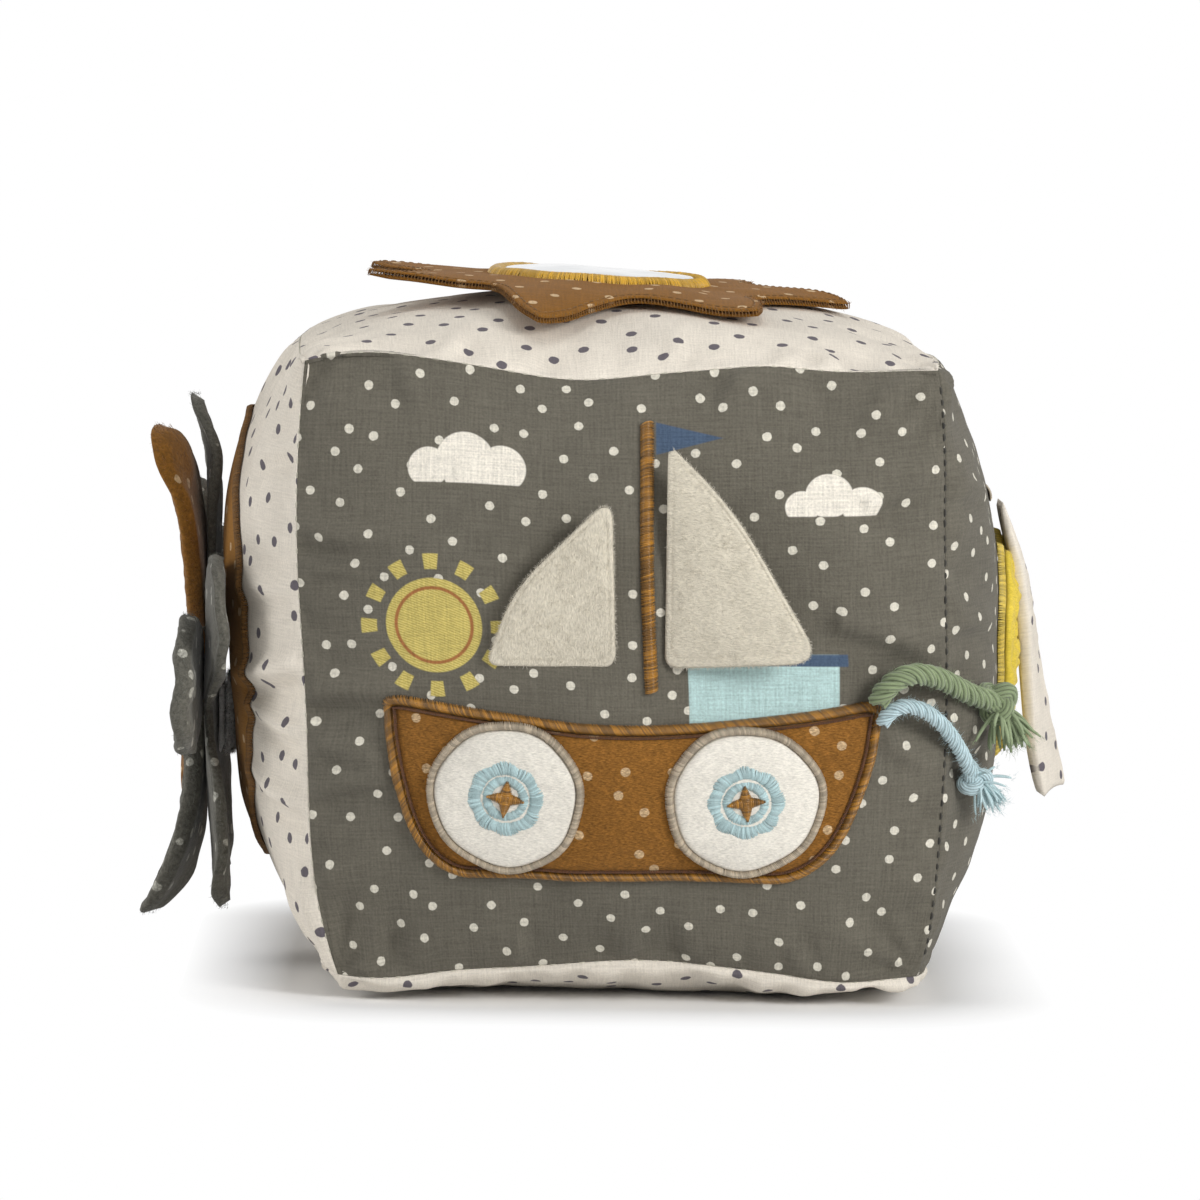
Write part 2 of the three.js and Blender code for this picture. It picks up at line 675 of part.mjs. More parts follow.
function addMast() {
  const half = MAST_WIDTH / 2;
  const points = [];
  const triangles = [];
  const section = [[-half, 0], [-half * 0.6, 1], [half * 0.6, 1], [half, 0]];
  for (let k = 0; k <= MAST_CELLS; k += 1) {
    const v = MAST_FOOT_V + (MAST_TOP_V - MAST_FOOT_V) * k / MAST_CELLS;
    for (const [u, rise] of section) {
      points.push(above('front', MAST_U + u, v, CLEAR + rise * MAST_HEIGHT));
    }
  }
  for (let k = 0; k < MAST_CELLS; k += 1) {
    joinRows(triangles, 4 * k, 4 * (k + 1), 4, true);
  }
  const end = 4 * MAST_CELLS;
  triangles.push(0, 1, 2, 0, 2, 3, end, end + 2, end + 1, end, end + 3, end + 2);
  add('mast_stitching', geometryFrom(points, triangles), 'gold_thread', THREAD_FINISH);
}

// A terry sail in its own flat frame: x runs away from the sewn edge, y along it, z out of the face.
// The sewn edge is thin, and the rest is padded and slightly bellied.
function sail(corners) {
  const line = new THREE.Shape();
  const rounded = corners.map(([x, y, radius], i) => {
    const [px, py] = corners[(i + corners.length - 1) % corners.length];
    const [nx, ny] = corners[(i + 1) % corners.length];
    const back = new THREE.Vector2(px - x, py - y).setLength(radius);
    const ahead = new THREE.Vector2(nx - x, ny - y).setLength(radius);
    return { x, y, start: [x + back.x, y + back.y], end: [x + ahead.x, y + ahead.y] };
  });
  rounded.forEach(({ x, y, start, end }, i) => {
    if (i === 0) {
      line.moveTo(...start);
    } else {
      line.lineTo(...start);
    }
    line.quadraticCurveTo(x, y, ...end);
  });
  line.closePath();
  const outline = line.getSpacedPoints(SAIL_POINTS).slice(0, -1).map((p) => [p.x, p.y]);
  const reach = Math.max(...corners.map(([x]) => x));
  const middle = [0, 1].map((k) => corners.reduce((sum, c) => sum + c[k], 0) / corners.length);
  const place = (x, y, z) => {
    const away = Math.min(1, x / reach);
    return new THREE.Vector3(x, y, z * sailThickness(away) + SAIL_BELLY * Math.sin(Math.PI * away * 0.9));
  };
  const swell = (share) => 0.55 + 0.45 * (1 - share ** 4);
  return patch(outline, middle, 3, (share) => -swell(share) / 2, (share) => swell(share) / 2, place);
}

function sailThickness(away) {
  return SAIL_SEAM_THICK + (SAIL_THICK - SAIL_SEAM_THICK) * Math.min(1, away * 3);
}

// The y of a straight line that clears the front face by SAIL_SEAM_CLEAR between two places on it
function clearOfFront(places) {
  return Math.min(...places.map(([u, v]) => above('front', u, v).y)) - SAIL_SEAM_CLEAR;
}

function addMainsail() {
  const u = MAST_U + MAST_WIDTH / 2 + CLEAR;
  const middleV = MAINSAIL_FOOT_V + MAINSAIL_LUFF / 2;
  const foot = above('front', u, MAINSAIL_FOOT_V);
  const y = clearOfFront([[u, MAINSAIL_FOOT_V], [u, middleV], [u, MAINSAIL_FOOT_V + MAINSAIL_LUFF]]);
  const sailSolid = sail([
    [0, 0, MAINSAIL_ROUNDING[0]],
    [MAINSAIL_FOOT, MAINSAIL_LUFF * 0.04, MAINSAIL_ROUNDING[1]],
    [MAINSAIL_FOOT * 0.42, MAINSAIL_LUFF * 0.72, MAINSAIL_ROUNDING[2]],
    [0, MAINSAIL_LUFF, MAINSAIL_ROUNDING[3]],
  ]);
  const mesh = add('mainsail_flap', sailSolid, 'white_terry');
  mesh.quaternion.copy(turnTo([1, 0, 0], [0, 0, 1], [0, 0, 1], -MAINSAIL_LEAN));
  mesh.position.set(foot.x + SAIL_SEAM_THICK / 2, y, foot.z);
}

// A turn that takes local x to along, local y to upright and local z to along × upright, and then
// swings by degrees about the axis
function turnTo(along, upright, axis, degrees) {
  const x = vector(along);
  const y = vector(upright);
  const basis = new THREE.Matrix4().makeBasis(x, y, x.clone().cross(y));
  const swing = new THREE.Quaternion().setFromAxisAngle(vector(axis), THREE.MathUtils.degToRad(degrees));
  return swing.multiply(new THREE.Quaternion().setFromRotationMatrix(basis));
}

function addJib() {
  const right = MAST_U - JIB_GAP;
  const left = right - JIB_FOOT;
  const y = clearOfFront([[left, JIB_FOOT_V], [(left + right) / 2, JIB_FOOT_V], [right, JIB_FOOT_V]]);
  const foot = above('front', right, JIB_FOOT_V);
  const sailSolid = sail([
    [0, 0, JIB_ROUNDING[0]],
    [JIB_LUFF, JIB_FOOT * 0.05, JIB_ROUNDING[1]],
    [JIB_LUFF * 0.45, JIB_FOOT * 0.8, JIB_ROUNDING[2]],
    [0, JIB_FOOT, JIB_ROUNDING[3]],
  ]);
  const mesh = add('jib_flap', sailSolid, 'white_terry');
  mesh.quaternion.copy(turnTo([0, 0, 1], [-1, 0, 0], [1, 0, 0], JIB_LEAN));
  mesh.position.set(foot.x, y, foot.z + SAIL_SEAM_THICK / 2);
}

function addCord(name, route, diameter, hang) {
  const curve = new THREE.CatmullRomCurve3(route.map(vector), false, 'centripetal');
  const section = new THREE.Shape();
  for (let k = 0; k < CORD_SIDES; k += 1) {
    const angle = 2 * Math.PI * k / CORD_SIDES;
    const method = k === 0 ? 'moveTo' : 'lineTo';
    section[method](diameter / 2 * Math.cos(angle), diameter / 2 * Math.sin(angle));
  }
  section.closePath();
  const sweep = { steps: CORD_STEPS, extrudePath: curve, bevelEnabled: false };
  const radius = KNOT_SHARE * diameter;
  const heading = curve.getTangent(1);
  const knotMiddle = curve.getPoint(1).addScaledVector(heading, radius * KNOT_FLAT_SHARE + CLEAR);
  add(name, solidOf(new THREE.ExtrudeGeometry(section, sweep)), name);
  add(`${name}_knot`, knot(knotMiddle, heading, radius), name);
  add(`${name}_tassel`, tassel(knotMiddle, vector(hang).normalize(), radius, diameter), name);
}

// The overhand knot, as a knobbly ball on the cord's end with a flat side towards the cord
function knot(middle, heading, radius) {
  const profile = [
    [0, -KNOT_FLAT_SHARE], [0.62, -KNOT_FLAT_SHARE], [0.95, -0.4], [1, 0],
    [0.95, 0.4], [0.62, 0.82], [0, 0.95],
  ].map(([x, y]) => new THREE.Vector2(radius * x, radius * y));
  return turnedAlong(new THREE.LatheGeometry(profile, KNOT_SIDES), heading, middle);
}

// The frayed strands, as a flaring bundle that starts at the knot's surface
function tassel(middle, hang, knotRadius, diameter) {
  const length = TASSEL_LENGTH_SHARE * diameter;
  const tip = TASSEL_TIP_SHARE * diameter;
  const profile = [
    [0, 0],
    [diameter * 0.42, 0],
    [tip * 0.85, length * 0.6],
    [tip, length],
    [0, length],
  ].map((p) => new THREE.Vector2(...p));
  const start = middle.clone().addScaledVector(hang, knotRadius + CLEAR);
  return turnedAlong(new THREE.LatheGeometry(profile, TASSEL_SIDES), hang, start);
}

// Turns a lathe's axis from +Y to heading and moves its origin to a place
function turnedAlong(lathe, heading, place) {
  const turn = new THREE.Quaternion().setFromUnitVectors(new THREE.Vector3(0, 1, 0), heading);
  return solidOf(lathe.applyQuaternion(turn).translate(...place.toArray()));
}

function addTopFlower() {
  const ringOuter = MIRROR_RADIUS + MIRROR_RING_WIDTH + 2 * CLEAR;
  const place = (u, v, height) => {
    const leftOfRing = Math.max(0, ringOuter + TOP_FLOWER_MIDDLE[0] - u);
    return above('top', u, v, height + TOP_FLOWER_TILT * leftOfRing);
  };
  const petals = flowerOutline(
    TOP_FLOWER_RADIUS,
    TOP_FLOWER_VALLEY,
    TOP_FLOWER_PETALS,
    TOP_PETAL_POINT,
    TOP_FLOWER_MIDDLE,
    TOP_FLOWER_TURN,
  );
  const liftedPlace = (u, v, height) => {
    const du = u - TOP_FLOWER_MIDDLE[0];
    const radius = Math.hypot(du, v - TOP_FLOWER_MIDDLE[1]);
    const leftwards = Math.max(0, -du / Math.max(radius, 1));
    const most = TOP_PETAL_LEAST_LIFT + (TOP_PETAL_LIFT - TOP_PETAL_LEAST_LIFT) * leftwards ** 2;
    const free = Math.max(0, radius - ringOuter) / (TOP_FLOWER_RADIUS - ringOuter);
    return place(u, v, height + most * free ** 1.5);
  };
  const coverLow = CLEAR + TOP_LAYER_THICK + CLEAR;
  const seat = coverLow + TOP_LAYER_THICK + CLEAR;
  const layer = (low) => patch(
    petals, TOP_FLOWER_MIDDLE, 4, flat(low), flat(low + TOP_LAYER_THICK), liftedPlace,
  );
  add('top_flower_lining', layer(CLEAR), 'brown_cotton');
  add('top_flower_cover', layer(coverLow), 'brown_cotton');
  const mirrorLine = circle(MIRROR_RADIUS, TOP_FLOWER_MIDDLE, PORTHOLE_POINTS);
  const ringLine = circle(MIRROR_RADIUS + MIRROR_RING_WIDTH / 2 + CLEAR, TOP_FLOWER_MIDDLE, PORTHOLE_POINTS);
  add(
    'mirror',
    patch(mirrorLine, TOP_FLOWER_MIDDLE, 2, flat(seat), flat(seat + MIRROR_THICK), place),
    'mirror_foil',
    { roughness: 0.05, metalness: 1 },
  );
  add(
    'mirror_ring',
    stitchedBand(ringLine, MIRROR_RING_WIDTH, seat, BORDER_HEIGHT, place),
    'mustard_thread',
    THREAD_FINISH,
  );
}

// Turns (u, v, height) into a point over the upright plane that the loose flower lies in. The plane
// touches the left face where the tapes' outermost edge is.
function onSidePlane(u, v, height) {
  const foot = above('left', 0, TAPE_HEIGHT / 2 - TAPE_DROP);
  return new THREE.Vector3(foot.x - height, -u, CENTRE_Z + v);
}

function tape(low, thick, place) {
  const [halfWidth, halfHeight] = [TAPE_WIDTH / 2, TAPE_HEIGHT / 2];
  const shape = new THREE.Shape();
  shape.moveTo(-halfWidth, -halfHeight - TAPE_DROP);
  shape.lineTo(halfWidth, -halfHeight - TAPE_DROP);
  shape.lineTo(halfWidth, halfHeight - TAPE_DROP);
  shape.lineTo(-halfWidth, halfHeight - TAPE_DROP);
  shape.closePath();
  const outline = shape.getSpacedPoints(TAPE_POINTS).slice(0, -1).map((p) => [p.x, p.y]);
  return patch(outline, [0, -TAPE_DROP], 1, flat(low), flat(low + thick), place);
}

function addLeftFace() {
  const patchTop = CLEAR + LEFT_PATCH_THICK;
  const loopLow = patchTop + CLEAR;
  const hookLow = loopLow + LOOP_TAPE_THICK + CLEAR;
  const outline = circle(LEFT_PATCH_RADIUS, LEFT_PATCH_MIDDLE, LEFT_PATCH_POINTS);
  const cloth = patch(outline, LEFT_PATCH_MIDDLE, 4, flat(CLEAR), flat(patchTop), onFace('left'));
  add('left_patch', cloth, 'brown_cotton');
  add('loop_tape', tape(loopLow, LOOP_TAPE_THICK, onFace('left')), 'white_tape');
  add('hook_tape', tape(hookLow, HOOK_TAPE_THICK, onSidePlane), 'white_tape');
  addSideFlower(hookLow + HOOK_TAPE_THICK + CLEAR);
}

// The loose flower: low is how far its inner layer stands off the left face
function addSideFlower(low) {
  const middle = [0, -SIDE_FLOWER_DROP];
  const turn = THREE.MathUtils.degToRad(INNER_TURN);
  const innerLine = flowerOutline(
    INNER_RADIUS, INNER_VALLEY, SIDE_PETALS, INNER_PETAL_POINT, middle, turn,
  );
  const bentPlace = (u, v, height) => {
    const radius = Math.hypot(u - middle[0], v - middle[1]);
    const upright = Math.abs(v - middle[1]) / Math.max(radius, 1);
    const bend = INNER_CURL * upright ** 2 * (Math.max(0, radius / INNER_RADIUS - 0.5) / 0.5) ** 2;
    return onSidePlane(u, v, height + bend);
  };
  const thinning = (share) => INNER_PETAL_THICK * 0.22 * share ** 4;
  add(
    'side_flower_inner_petals',
    patch(
      innerLine,
      middle,
      4,
      (share) => low + thinning(share),
      (share) => low + INNER_PETAL_THICK - thinning(share),
      bentPlace,
    ),
    'grey_velour',
  );
  const outerLow = low + INNER_PETAL_THICK + CLEAR;
  for (let k = 0; k < SIDE_PETALS; k += 1) {
    const angle = THREE.MathUtils.degToRad(OUTER_TURN + 360 * k / SIDE_PETALS);
    const brown = k % 2 === 1;
    const number = Math.floor(k / 2) + 1;
    const name = brown ? `side_flower_brown_petal_${number}` : `side_flower_grey_petal_${number}`;
    add(name, outerPetal(angle, outerLow), brown ? 'brown_velour' : 'grey_velour');
  }
  add(
    'side_flower_middle',
    patch(
      circle(SIDE_MIDDLE_RADIUS, middle, PORTHOLE_POINTS),
      middle,
      1,
      flat(outerLow),
      (share) => outerLow + SIDE_MIDDLE_THICK * (1 - 0.4 * share),
      onSidePlane,
    ),
    'brown_velour',
  );
}

// A padded leaf-shaped petal. The upright ones curl away from the cube more than the level ones.
function outerPetal(angle, low) {
  const half = OUTER_PETAL_LENGTH / 2;
  const curl = OUTER_CURL * Math.abs(Math.sin(angle)) ** 2 + LEVEL_CURL;
  const ellipse = (at) => {
    const across = OUTER_PETAL_LENGTH * Math.sin(at);
    return half * OUTER_PETAL_WIDTH / Math.hypot(OUTER_PETAL_WIDTH * Math.cos(at), across);
  };
  const line = roundOutline(ellipse, [0, 0], OUTER_PETAL_POINTS);
  const place = (along, across, height) => {
    const away = OUTER_PETAL_ROOT + half + along;
    const share = (along + half) / OUTER_PETAL_LENGTH;
    const fullness = Math.min(1, share * 1.6);
    const drawnIn = across * (OUTER_ROOT_SHARE + (1 - OUTER_ROOT_SHARE) * fullness);
    const u = away * Math.cos(angle) - drawnIn * Math.sin(angle);
    const v = away * Math.sin(angle) + drawnIn * Math.cos(angle) - SIDE_FLOWER_DROP;
    return onSidePlane(u, v, height + curl * Math.max(0, (share - 0.35) / 0.65) ** 2);
  };
  const thinning = (share) => OUTER_PETAL_THICK * 0.25 * share ** 4;
  return patch(
    line,
    [0, 0],
    3,
    (share) => low + thinning(share),
    (share) => low + OUTER_PETAL_THICK - thinning(share),
    place,
  );
}

function addRightFace() {
  const wave = (angle) => YELLOW_RADIUS + YELLOW_WAVE_HEIGHT * Math.cos(YELLOW_WAVES * angle);
  const line = roundOutline(wave, [0, 0], YELLOW_WAVES * WAVE_POINTS);
  const inner = offsetOutline(line, -BORDER_WIDTH / 2 - CLEAR);
  const place = onFace('right');
  const border = stitchedBand(line, BORDER_WIDTH, CLEAR, BORDER_HEIGHT, place);
  add('yellow_patch', velourPatch(inner, [0, 0], 3, place), 'yellow_velour');
  add('yellow_border', border, 'mustard_thread', THREAD_FINISH);
  addLongFlap();
}

// The long flap hangs from a bar tack at its upper end and leans out over the yellow patch
function addLongFlap() {
  const root = above('right', 0, LONG_FLAP_TOP_V, LONG_FLAP_ROOT_CLEAR);
  const half = LONG_FLAP_WIDTH / 2;
  const shape = new THREE.Shape();
  shape.moveTo(-half * 0.75, 0);
  shape.lineTo(half * 0.75, 0);
  shape.quadraticCurveTo(half, -LONG_FLAP_LENGTH * 0.3, half, -LONG_FLAP_LENGTH * 0.7);
  shape.quadraticCurveTo(half, -LONG_FLAP_LENGTH, half * 0.5, -LONG_FLAP_LENGTH);
  shape.lineTo(-half * 0.5, -LONG_FLAP_LENGTH);
  shape.quadraticCurveTo(-half, -LONG_FLAP_LENGTH, -half, -LONG_FLAP_LENGTH * 0.7);
  shape.quadraticCurveTo(-half, -LONG_FLAP_LENGTH * 0.3, -half * 0.75, 0);
  const outline = shape.getSpacedPoints(LONG_FLAP_POINTS).slice(0, -1).map((p) => [p.x, p.y]);
  const thick = (along) => LONG_FLAP_SEAM_THICK
    + (LONG_FLAP_THICK - LONG_FLAP_SEAM_THICK) * Math.min(1, Math.abs(along) / LONG_FLAP_WIDTH);
  const place = (u, v, height) => {
    const twist = THREE.MathUtils.degToRad(LONG_FLAP_TWIST * Math.min(1, Math.abs(v) / LONG_FLAP_LENGTH));
    const out = height * thick(v);
    return new THREE.Vector3(
      out * Math.cos(twist) + u * Math.sin(twist),
      u * Math.cos(twist) - out * Math.sin(twist),
      v,
    );
  };
  const swell = (share) => 0.5 * (0.5 + 0.5 * (1 - share ** 3));
  const flap = patch(outline, [0, -LONG_FLAP_LENGTH / 2], 3, (share) => -swell(share), swell, place);
  const mesh = add('long_flap', flap, 'cream_cotton');
  mesh.rotation.y = -THREE.MathUtils.degToRad(LONG_FLAP_LEAN);
  mesh.position.copy(root);
  addBarTack();
}

// The short row of stitches above the long flap that its upper end is caught in
function addBarTack() {
  const middle = [0, LONG_FLAP_TOP_V + BAR_TACK_HEIGHT];
  const line = circle(1, [0, 0], BAR_TACK_POINTS).map(([x, y]) => [
    middle[0] + x * BAR_TACK_WIDTH / 2,
    middle[1] + y * BAR_TACK_HEIGHT / 2,
  ]);
  const stitches = patch(line, middle, 1, flat(CLEAR), flat(LONG_FLAP_ROOT_CLEAR), onFace('right'));
  add('long_flap_bar_tack', stitches, 'beige_thread', THREAD_FINISH);
}

addBody();
addHull();
addPorthole(-1);
addPorthole(1);
addMast();
addMainsail();
addJib();
addCord('green_cord', GREEN_ROUTE, GREEN_DIAMETER, GREEN_TASSEL_HANG);
addCord('blue_cord', BLUE_ROUTE, BLUE_DIAMETER, BLUE_TASSEL_HANG);
addTopFlower();
addLeftFace();
addRightFace();

export default group;
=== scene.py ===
"""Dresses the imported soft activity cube: cloth, velour, terry, stitching, cords and mirror foil."""

import json
import math

import bmesh
import bpy
import numpy as np
from bpy.props import FloatProperty, FloatVectorProperty, IntProperty, PointerProperty
from mathutils import Matrix, Vector

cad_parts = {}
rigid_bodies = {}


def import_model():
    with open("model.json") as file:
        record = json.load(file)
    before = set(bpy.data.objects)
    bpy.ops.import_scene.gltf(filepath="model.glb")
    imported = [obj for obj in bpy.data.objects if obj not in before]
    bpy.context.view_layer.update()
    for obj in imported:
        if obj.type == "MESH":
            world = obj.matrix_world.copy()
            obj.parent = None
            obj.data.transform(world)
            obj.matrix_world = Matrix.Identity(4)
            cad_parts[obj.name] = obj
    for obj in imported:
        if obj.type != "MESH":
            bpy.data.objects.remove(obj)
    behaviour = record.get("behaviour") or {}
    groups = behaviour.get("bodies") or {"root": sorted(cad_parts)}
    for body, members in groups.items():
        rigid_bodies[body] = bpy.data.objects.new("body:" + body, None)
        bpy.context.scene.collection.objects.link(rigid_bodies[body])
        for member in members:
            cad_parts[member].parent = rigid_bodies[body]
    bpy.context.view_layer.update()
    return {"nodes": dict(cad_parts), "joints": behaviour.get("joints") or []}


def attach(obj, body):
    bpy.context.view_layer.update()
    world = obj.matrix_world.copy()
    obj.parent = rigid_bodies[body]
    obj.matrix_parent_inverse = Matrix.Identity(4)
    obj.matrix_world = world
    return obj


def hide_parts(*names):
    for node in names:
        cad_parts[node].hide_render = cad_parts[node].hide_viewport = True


bl_info = {
    "name": "Soft activity cube",
    "version": (1, 0, 0),
    "blender": (4, 5, 0),
    "location": "View3D > Sidebar > Activity cube",
    "description": "Makes the cloth, stitching and cords of a soft activity cube on its packed frame",
    "category": "Object",
}

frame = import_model()

# Millimetres in all the shaping below, until a mesh is written in metres
MM = 0.001

# The stuffed body, with the same sizes as the part's own source
BODY_HALF = 57.0
BODY_HALF_HEIGHT = 56.0
BULGES = {"front": 12.0, "back": 12.0, "left": 14.0, "right": 14.0, "top": 12.0, "bottom": 7.0}
CROWN_POWER = 2.9
TOP_WIDER = 0.022
LEAN = -1.6
SEAM_DIP = 1.8
SEAM_BOW = 1.0
LOWER_CORNER_DRAW = 3.2
LOWER_CORNER_LIFT = 0.15
UPPER_CORNER_DRAW = 1.4
CORNER_REACH = 5
BOTTOM_DEPTH = BODY_HALF_HEIGHT + BULGES["bottom"]
CENTRE_Z = BOTTOM_DEPTH - SEAM_DIP * BOTTOM_DEPTH / BODY_HALF_HEIGHT - 0.5
CLEAR = 0.3
# The weight of the cube makes the bottom cloth swell out and down: how far, and over what distance
BOTTOM_SWELL = 2.3
BOTTOM_SWELL_REACH = 2.0
LOW_EDGE_SWELL = 1.7
LOW_EDGE_REACH = 2.6
# Waves of the front panel's seams: middle across, reach and height
TOP_SEAM_WAVES = ((-46, 14, 2.1), (-7, 14, -1.9), (26, 9, 1.0))
LOW_SEAM_WAVES = ((3, 18, 1.6), (-46, 12, -1.3), (40, 10, -1.1))
# The cover's cloth and the strip of it that turns into a seam
PANEL_THICK = 0.7
SEAM_ROLL = 0.5
SEAM_GAP = 0.01
# Sewing stitches in the seams: pitch, length, share of the way out to the seam, depth and radius
SEAM_STITCHES = {"pale": (2.7, 1.5, 0.998, -0.20, 0.15), "dark": (2.3, 1.3, 0.9955, 0.0, 0.27)}
SEAM_STITCH_END = 52.0
# The wads of filling: their share of the cover's size, how far they stay under it, and the hollow in them
WAD_SHARE = 0.955
WAD_INSET = 3.4
WAD_FLOOR = 2.4
WAD_GAP = 0.006
HOLLOW_RADIUS = 16.5

# Cloth of each panel, in the order in which the panels are made
PANEL_CLOTHS = {
    "front": "front cotton", "back": "grey cotton", "left": "cream cotton", "right": "grey cotton",
    "top": "cream cotton", "bottom": "cream cotton",
}

# Outward axis, then the axes that run to the right and up over each face
AXES = {
    "front": ((0, -1, 0), (1, 0, 0), (0, 0, 1)),
    "back": ((0, 1, 0), (-1, 0, 0), (0, 0, 1)),
    "left": ((-1, 0, 0), (0, -1, 0), (0, 0, 1)),
    "right": ((1, 0, 0), (0, 1, 0), (0, 0, 1)),
    "top": ((0, 0, 1), (1, 0, 0), (0, 1, 0)),
    "bottom": ((0, 0, -1), (-1, 0, 0), (0, 1, 0)),
}

# Boat on the front face
HULL_MIDDLE = (1.0, -21.0)
HULL_LENGTH = 86.0
HULL_DEPTH = 32.0
HULL_RISE = 6.0
HULL_KEEL_SHARE = 0.66
VELOUR_THICK = 1.6
BORDER_WIDTH = 2.2
PORTHOLE_MIDDLE = (0.0, -22.3)
PORTHOLE_SPACING = 42.0
PORTHOLE_RADIUS = 13.2
MAST_U = 5.0
MAST_WIDTH = 2.4
MAST_FOOT_V = -2.0
MAST_TOP_V = 46.5

# Flowers, tapes and patches
TOP_FLOWER_MIDDLE = (-2.3, -4.0)
TOP_FLOWER_RADIUS = 45.0
TOP_FLOWER_VALLEY = 31.0
TOP_FLOWER_PETALS = 7
TOP_FLOWER_TURN = -0.035
TOP_FLOWER_TILT = 0.05
TOP_PETAL_POINT = 1.25
TOP_PETAL_LIFT = 4.5
TOP_PETAL_LEAST_LIFT = 0.8
MIRROR_RADIUS = 16.5
MIRROR_RING_WIDTH = 3.0
LEFT_PATCH_RADIUS = 41.5
LEFT_PATCH_MIDDLE = (-5.0, 0.0)
TAPE_WIDTH = 16.0
TAPE_HEIGHT = 14.0
TAPE_DROP = 14.5
HOOK_LEVEL = 3.0
SIDE_FLOWER_DROP = 5.0
INNER_PETAL_RADIUS = 51.0
INNER_PETAL_VALLEY = 24.0
INNER_PETAL_THICK = 0.9
OUTER_PETALS = 5
OUTER_PETAL_LENGTH = 41.0
OUTER_PETAL_WIDTH = 27.0
OUTER_PETAL_START = 7.0
OUTER_PETAL_THICK = 1.8
SIDE_MIDDLE_RADIUS = 6.2
YELLOW_RADIUS = 20.5
YELLOW_WAVES = 9
YELLOW_WAVE_HEIGHT = 1.1
LONG_FLAP_LENGTH = 56.5
LONG_FLAP_WIDTH = 15.0
LONG_FLAP_TOP_V = 27.0
LONG_FLAP_LEAN = 12.0
LONG_FLAP_TWIST = 14.0

# Cords: the same routes as the part's own source
GREEN_DIAMETER = 4.0
BLUE_DIAMETER = 2.8
GREEN_ROUTE = (
    (45.4, -66.2, 56.6), (46.3, -67.0, 58.3), (47.6, -67.6, 59.8), (49.3, -67.5, 60.9),
    (51.3, -66.6, 61.5), (53.6, -65.0, 61.3), (56.0, -62.6, 60.6), (58.6, -59.8, 59.3),
    (61.3, -57.0, 57.7), (63.9, -53.9, 56.4), (66.4, -50.8, 55.5),
)
BLUE_ROUTE = (
    (46.4, -64.9, 52.6), (47.2, -65.6, 54.0), (48.4, -66.0, 55.1), (50.2, -65.8, 55.7),
    (52.2, -64.9, 55.4), (54.3, -63.6, 54.5), (56.4, -62.0, 52.9), (58.4, -60.0, 50.8),
    (60.2, -57.9, 48.3), (61.8, -55.7, 45.6), (63.3, -53.5, 42.8),
)
GREEN_HANG = (0.45, -0.15, -0.85)
BLUE_HANG = (0.7, 0.0, -0.7)
PLY_GROOVES = 7
KNOT_GROOVES = 12
TASSEL_STRANDS = 44
CORD_FIBRES = 420
KNOT_FIBRES = 160
TIP_FIBRES = 6

# Relief of the stuffed cloth
RELIEF_STRENGTH = 1.25
RELIEF_MOST = 2.6
RELIEF_PLACES = 201
# Puckers along every seam: height, width and length, where they start and how far they reach from the
# seam, their seed, and whether they wander
SEAM_PUCKERS = (
    (1.25, 4.2, 22, 1.6, 6.5, 0, True), (0.4, 1.3, 9, 0.8, 2.6, 150, False), (1.15, 9, 45, 4, 19, 50, True),
)
# Single creases: both ends, height and half-width, in millimetres over the face
FOLDS = {
    "front": (
        (-57, 24, -37, 22.6, 1.1, 2.6), (-57, 16.6, -42, 18.6, 0.9, 2.2), (-57, -4.6, -37, -5.8, 1.4, 2.8),
        (-57, -14.8, -42, -16.6, 0.9, 2.2), (-57, -23, -39, -20.8, 1.0, 2.4), (38, 9.2, 56, 1.6, 1.1, 2.8),
        (44, 30.6, 56, 37.5, 0.9, 2.2), (46, -14, 57, -18, 0.8, 2.2), (-40, 56, -35, 44, 0.7, 2.4),
        (20, 56, 16, 46, 0.7, 2.2), (-20, -56, -17, -46, 0.8, 2.2), (33, -56, 30, -45, 0.8, 2.4),
        (50, 56, 40, 45, 0.9, 2.6), (-50, -56, -42, -44, 1.0, 2.6),
    ),
    "left": (
        (57, -1, 24, -6, 1.5, 2.6), (57, -13, 28, -9, 1.2, 2.4), (57, -27, 26, -22, 1.2, 2.6),
        (57, 14, 30, 10, 0.8, 2.4), (57, 40, 34, 34, 0.8, 2.4), (-57, 5, -30, 3, 1.0, 2.6),
    ),
    "right": (
        (-57, 8, -28, 4, 1.0, 2.6), (-57, -17, -34, -14, 0.9, 2.4), (-57, 33, -36, 28, 0.9, 2.4),
        (57, 10, 30, 6, 1.0, 2.6),
    ),
    "bottom": ((3, 57, 6, 38, 1.0, 2.4), (44, 57, 36, 40, 1.2, 2.6), (-36, 57, -30, 40, 0.9, 2.4)),
    "top": ((-30, -57, -26, -44, 0.8, 2.4), (10, -57, 12, -44, 0.7, 2.2), (38, -57, 34, -42, 0.8, 2.4)),
    "back": (
        (-57, 12, -36, 9, 1.0, 2.4), (57, -10, 34, -6, 1.1, 2.6), (20, 56, 17, 42, 0.8, 2.4),
        (-24, -56, -20, -40, 0.9, 2.4),
    ),
}
# Lumps of filling: middle, reach and height
SWELLS = {
    "front": ((-36, 27, 12, 0.9), (43, 14, 11, 0.9), (40, -30, 10, 0.4)),
    "left": ((15, 24, 14, 0.8), (10, -30, 13, 0.7)),
    "right": ((-38, 20, 10, 0.7), (-38, -28, 11, 0.7)),
}

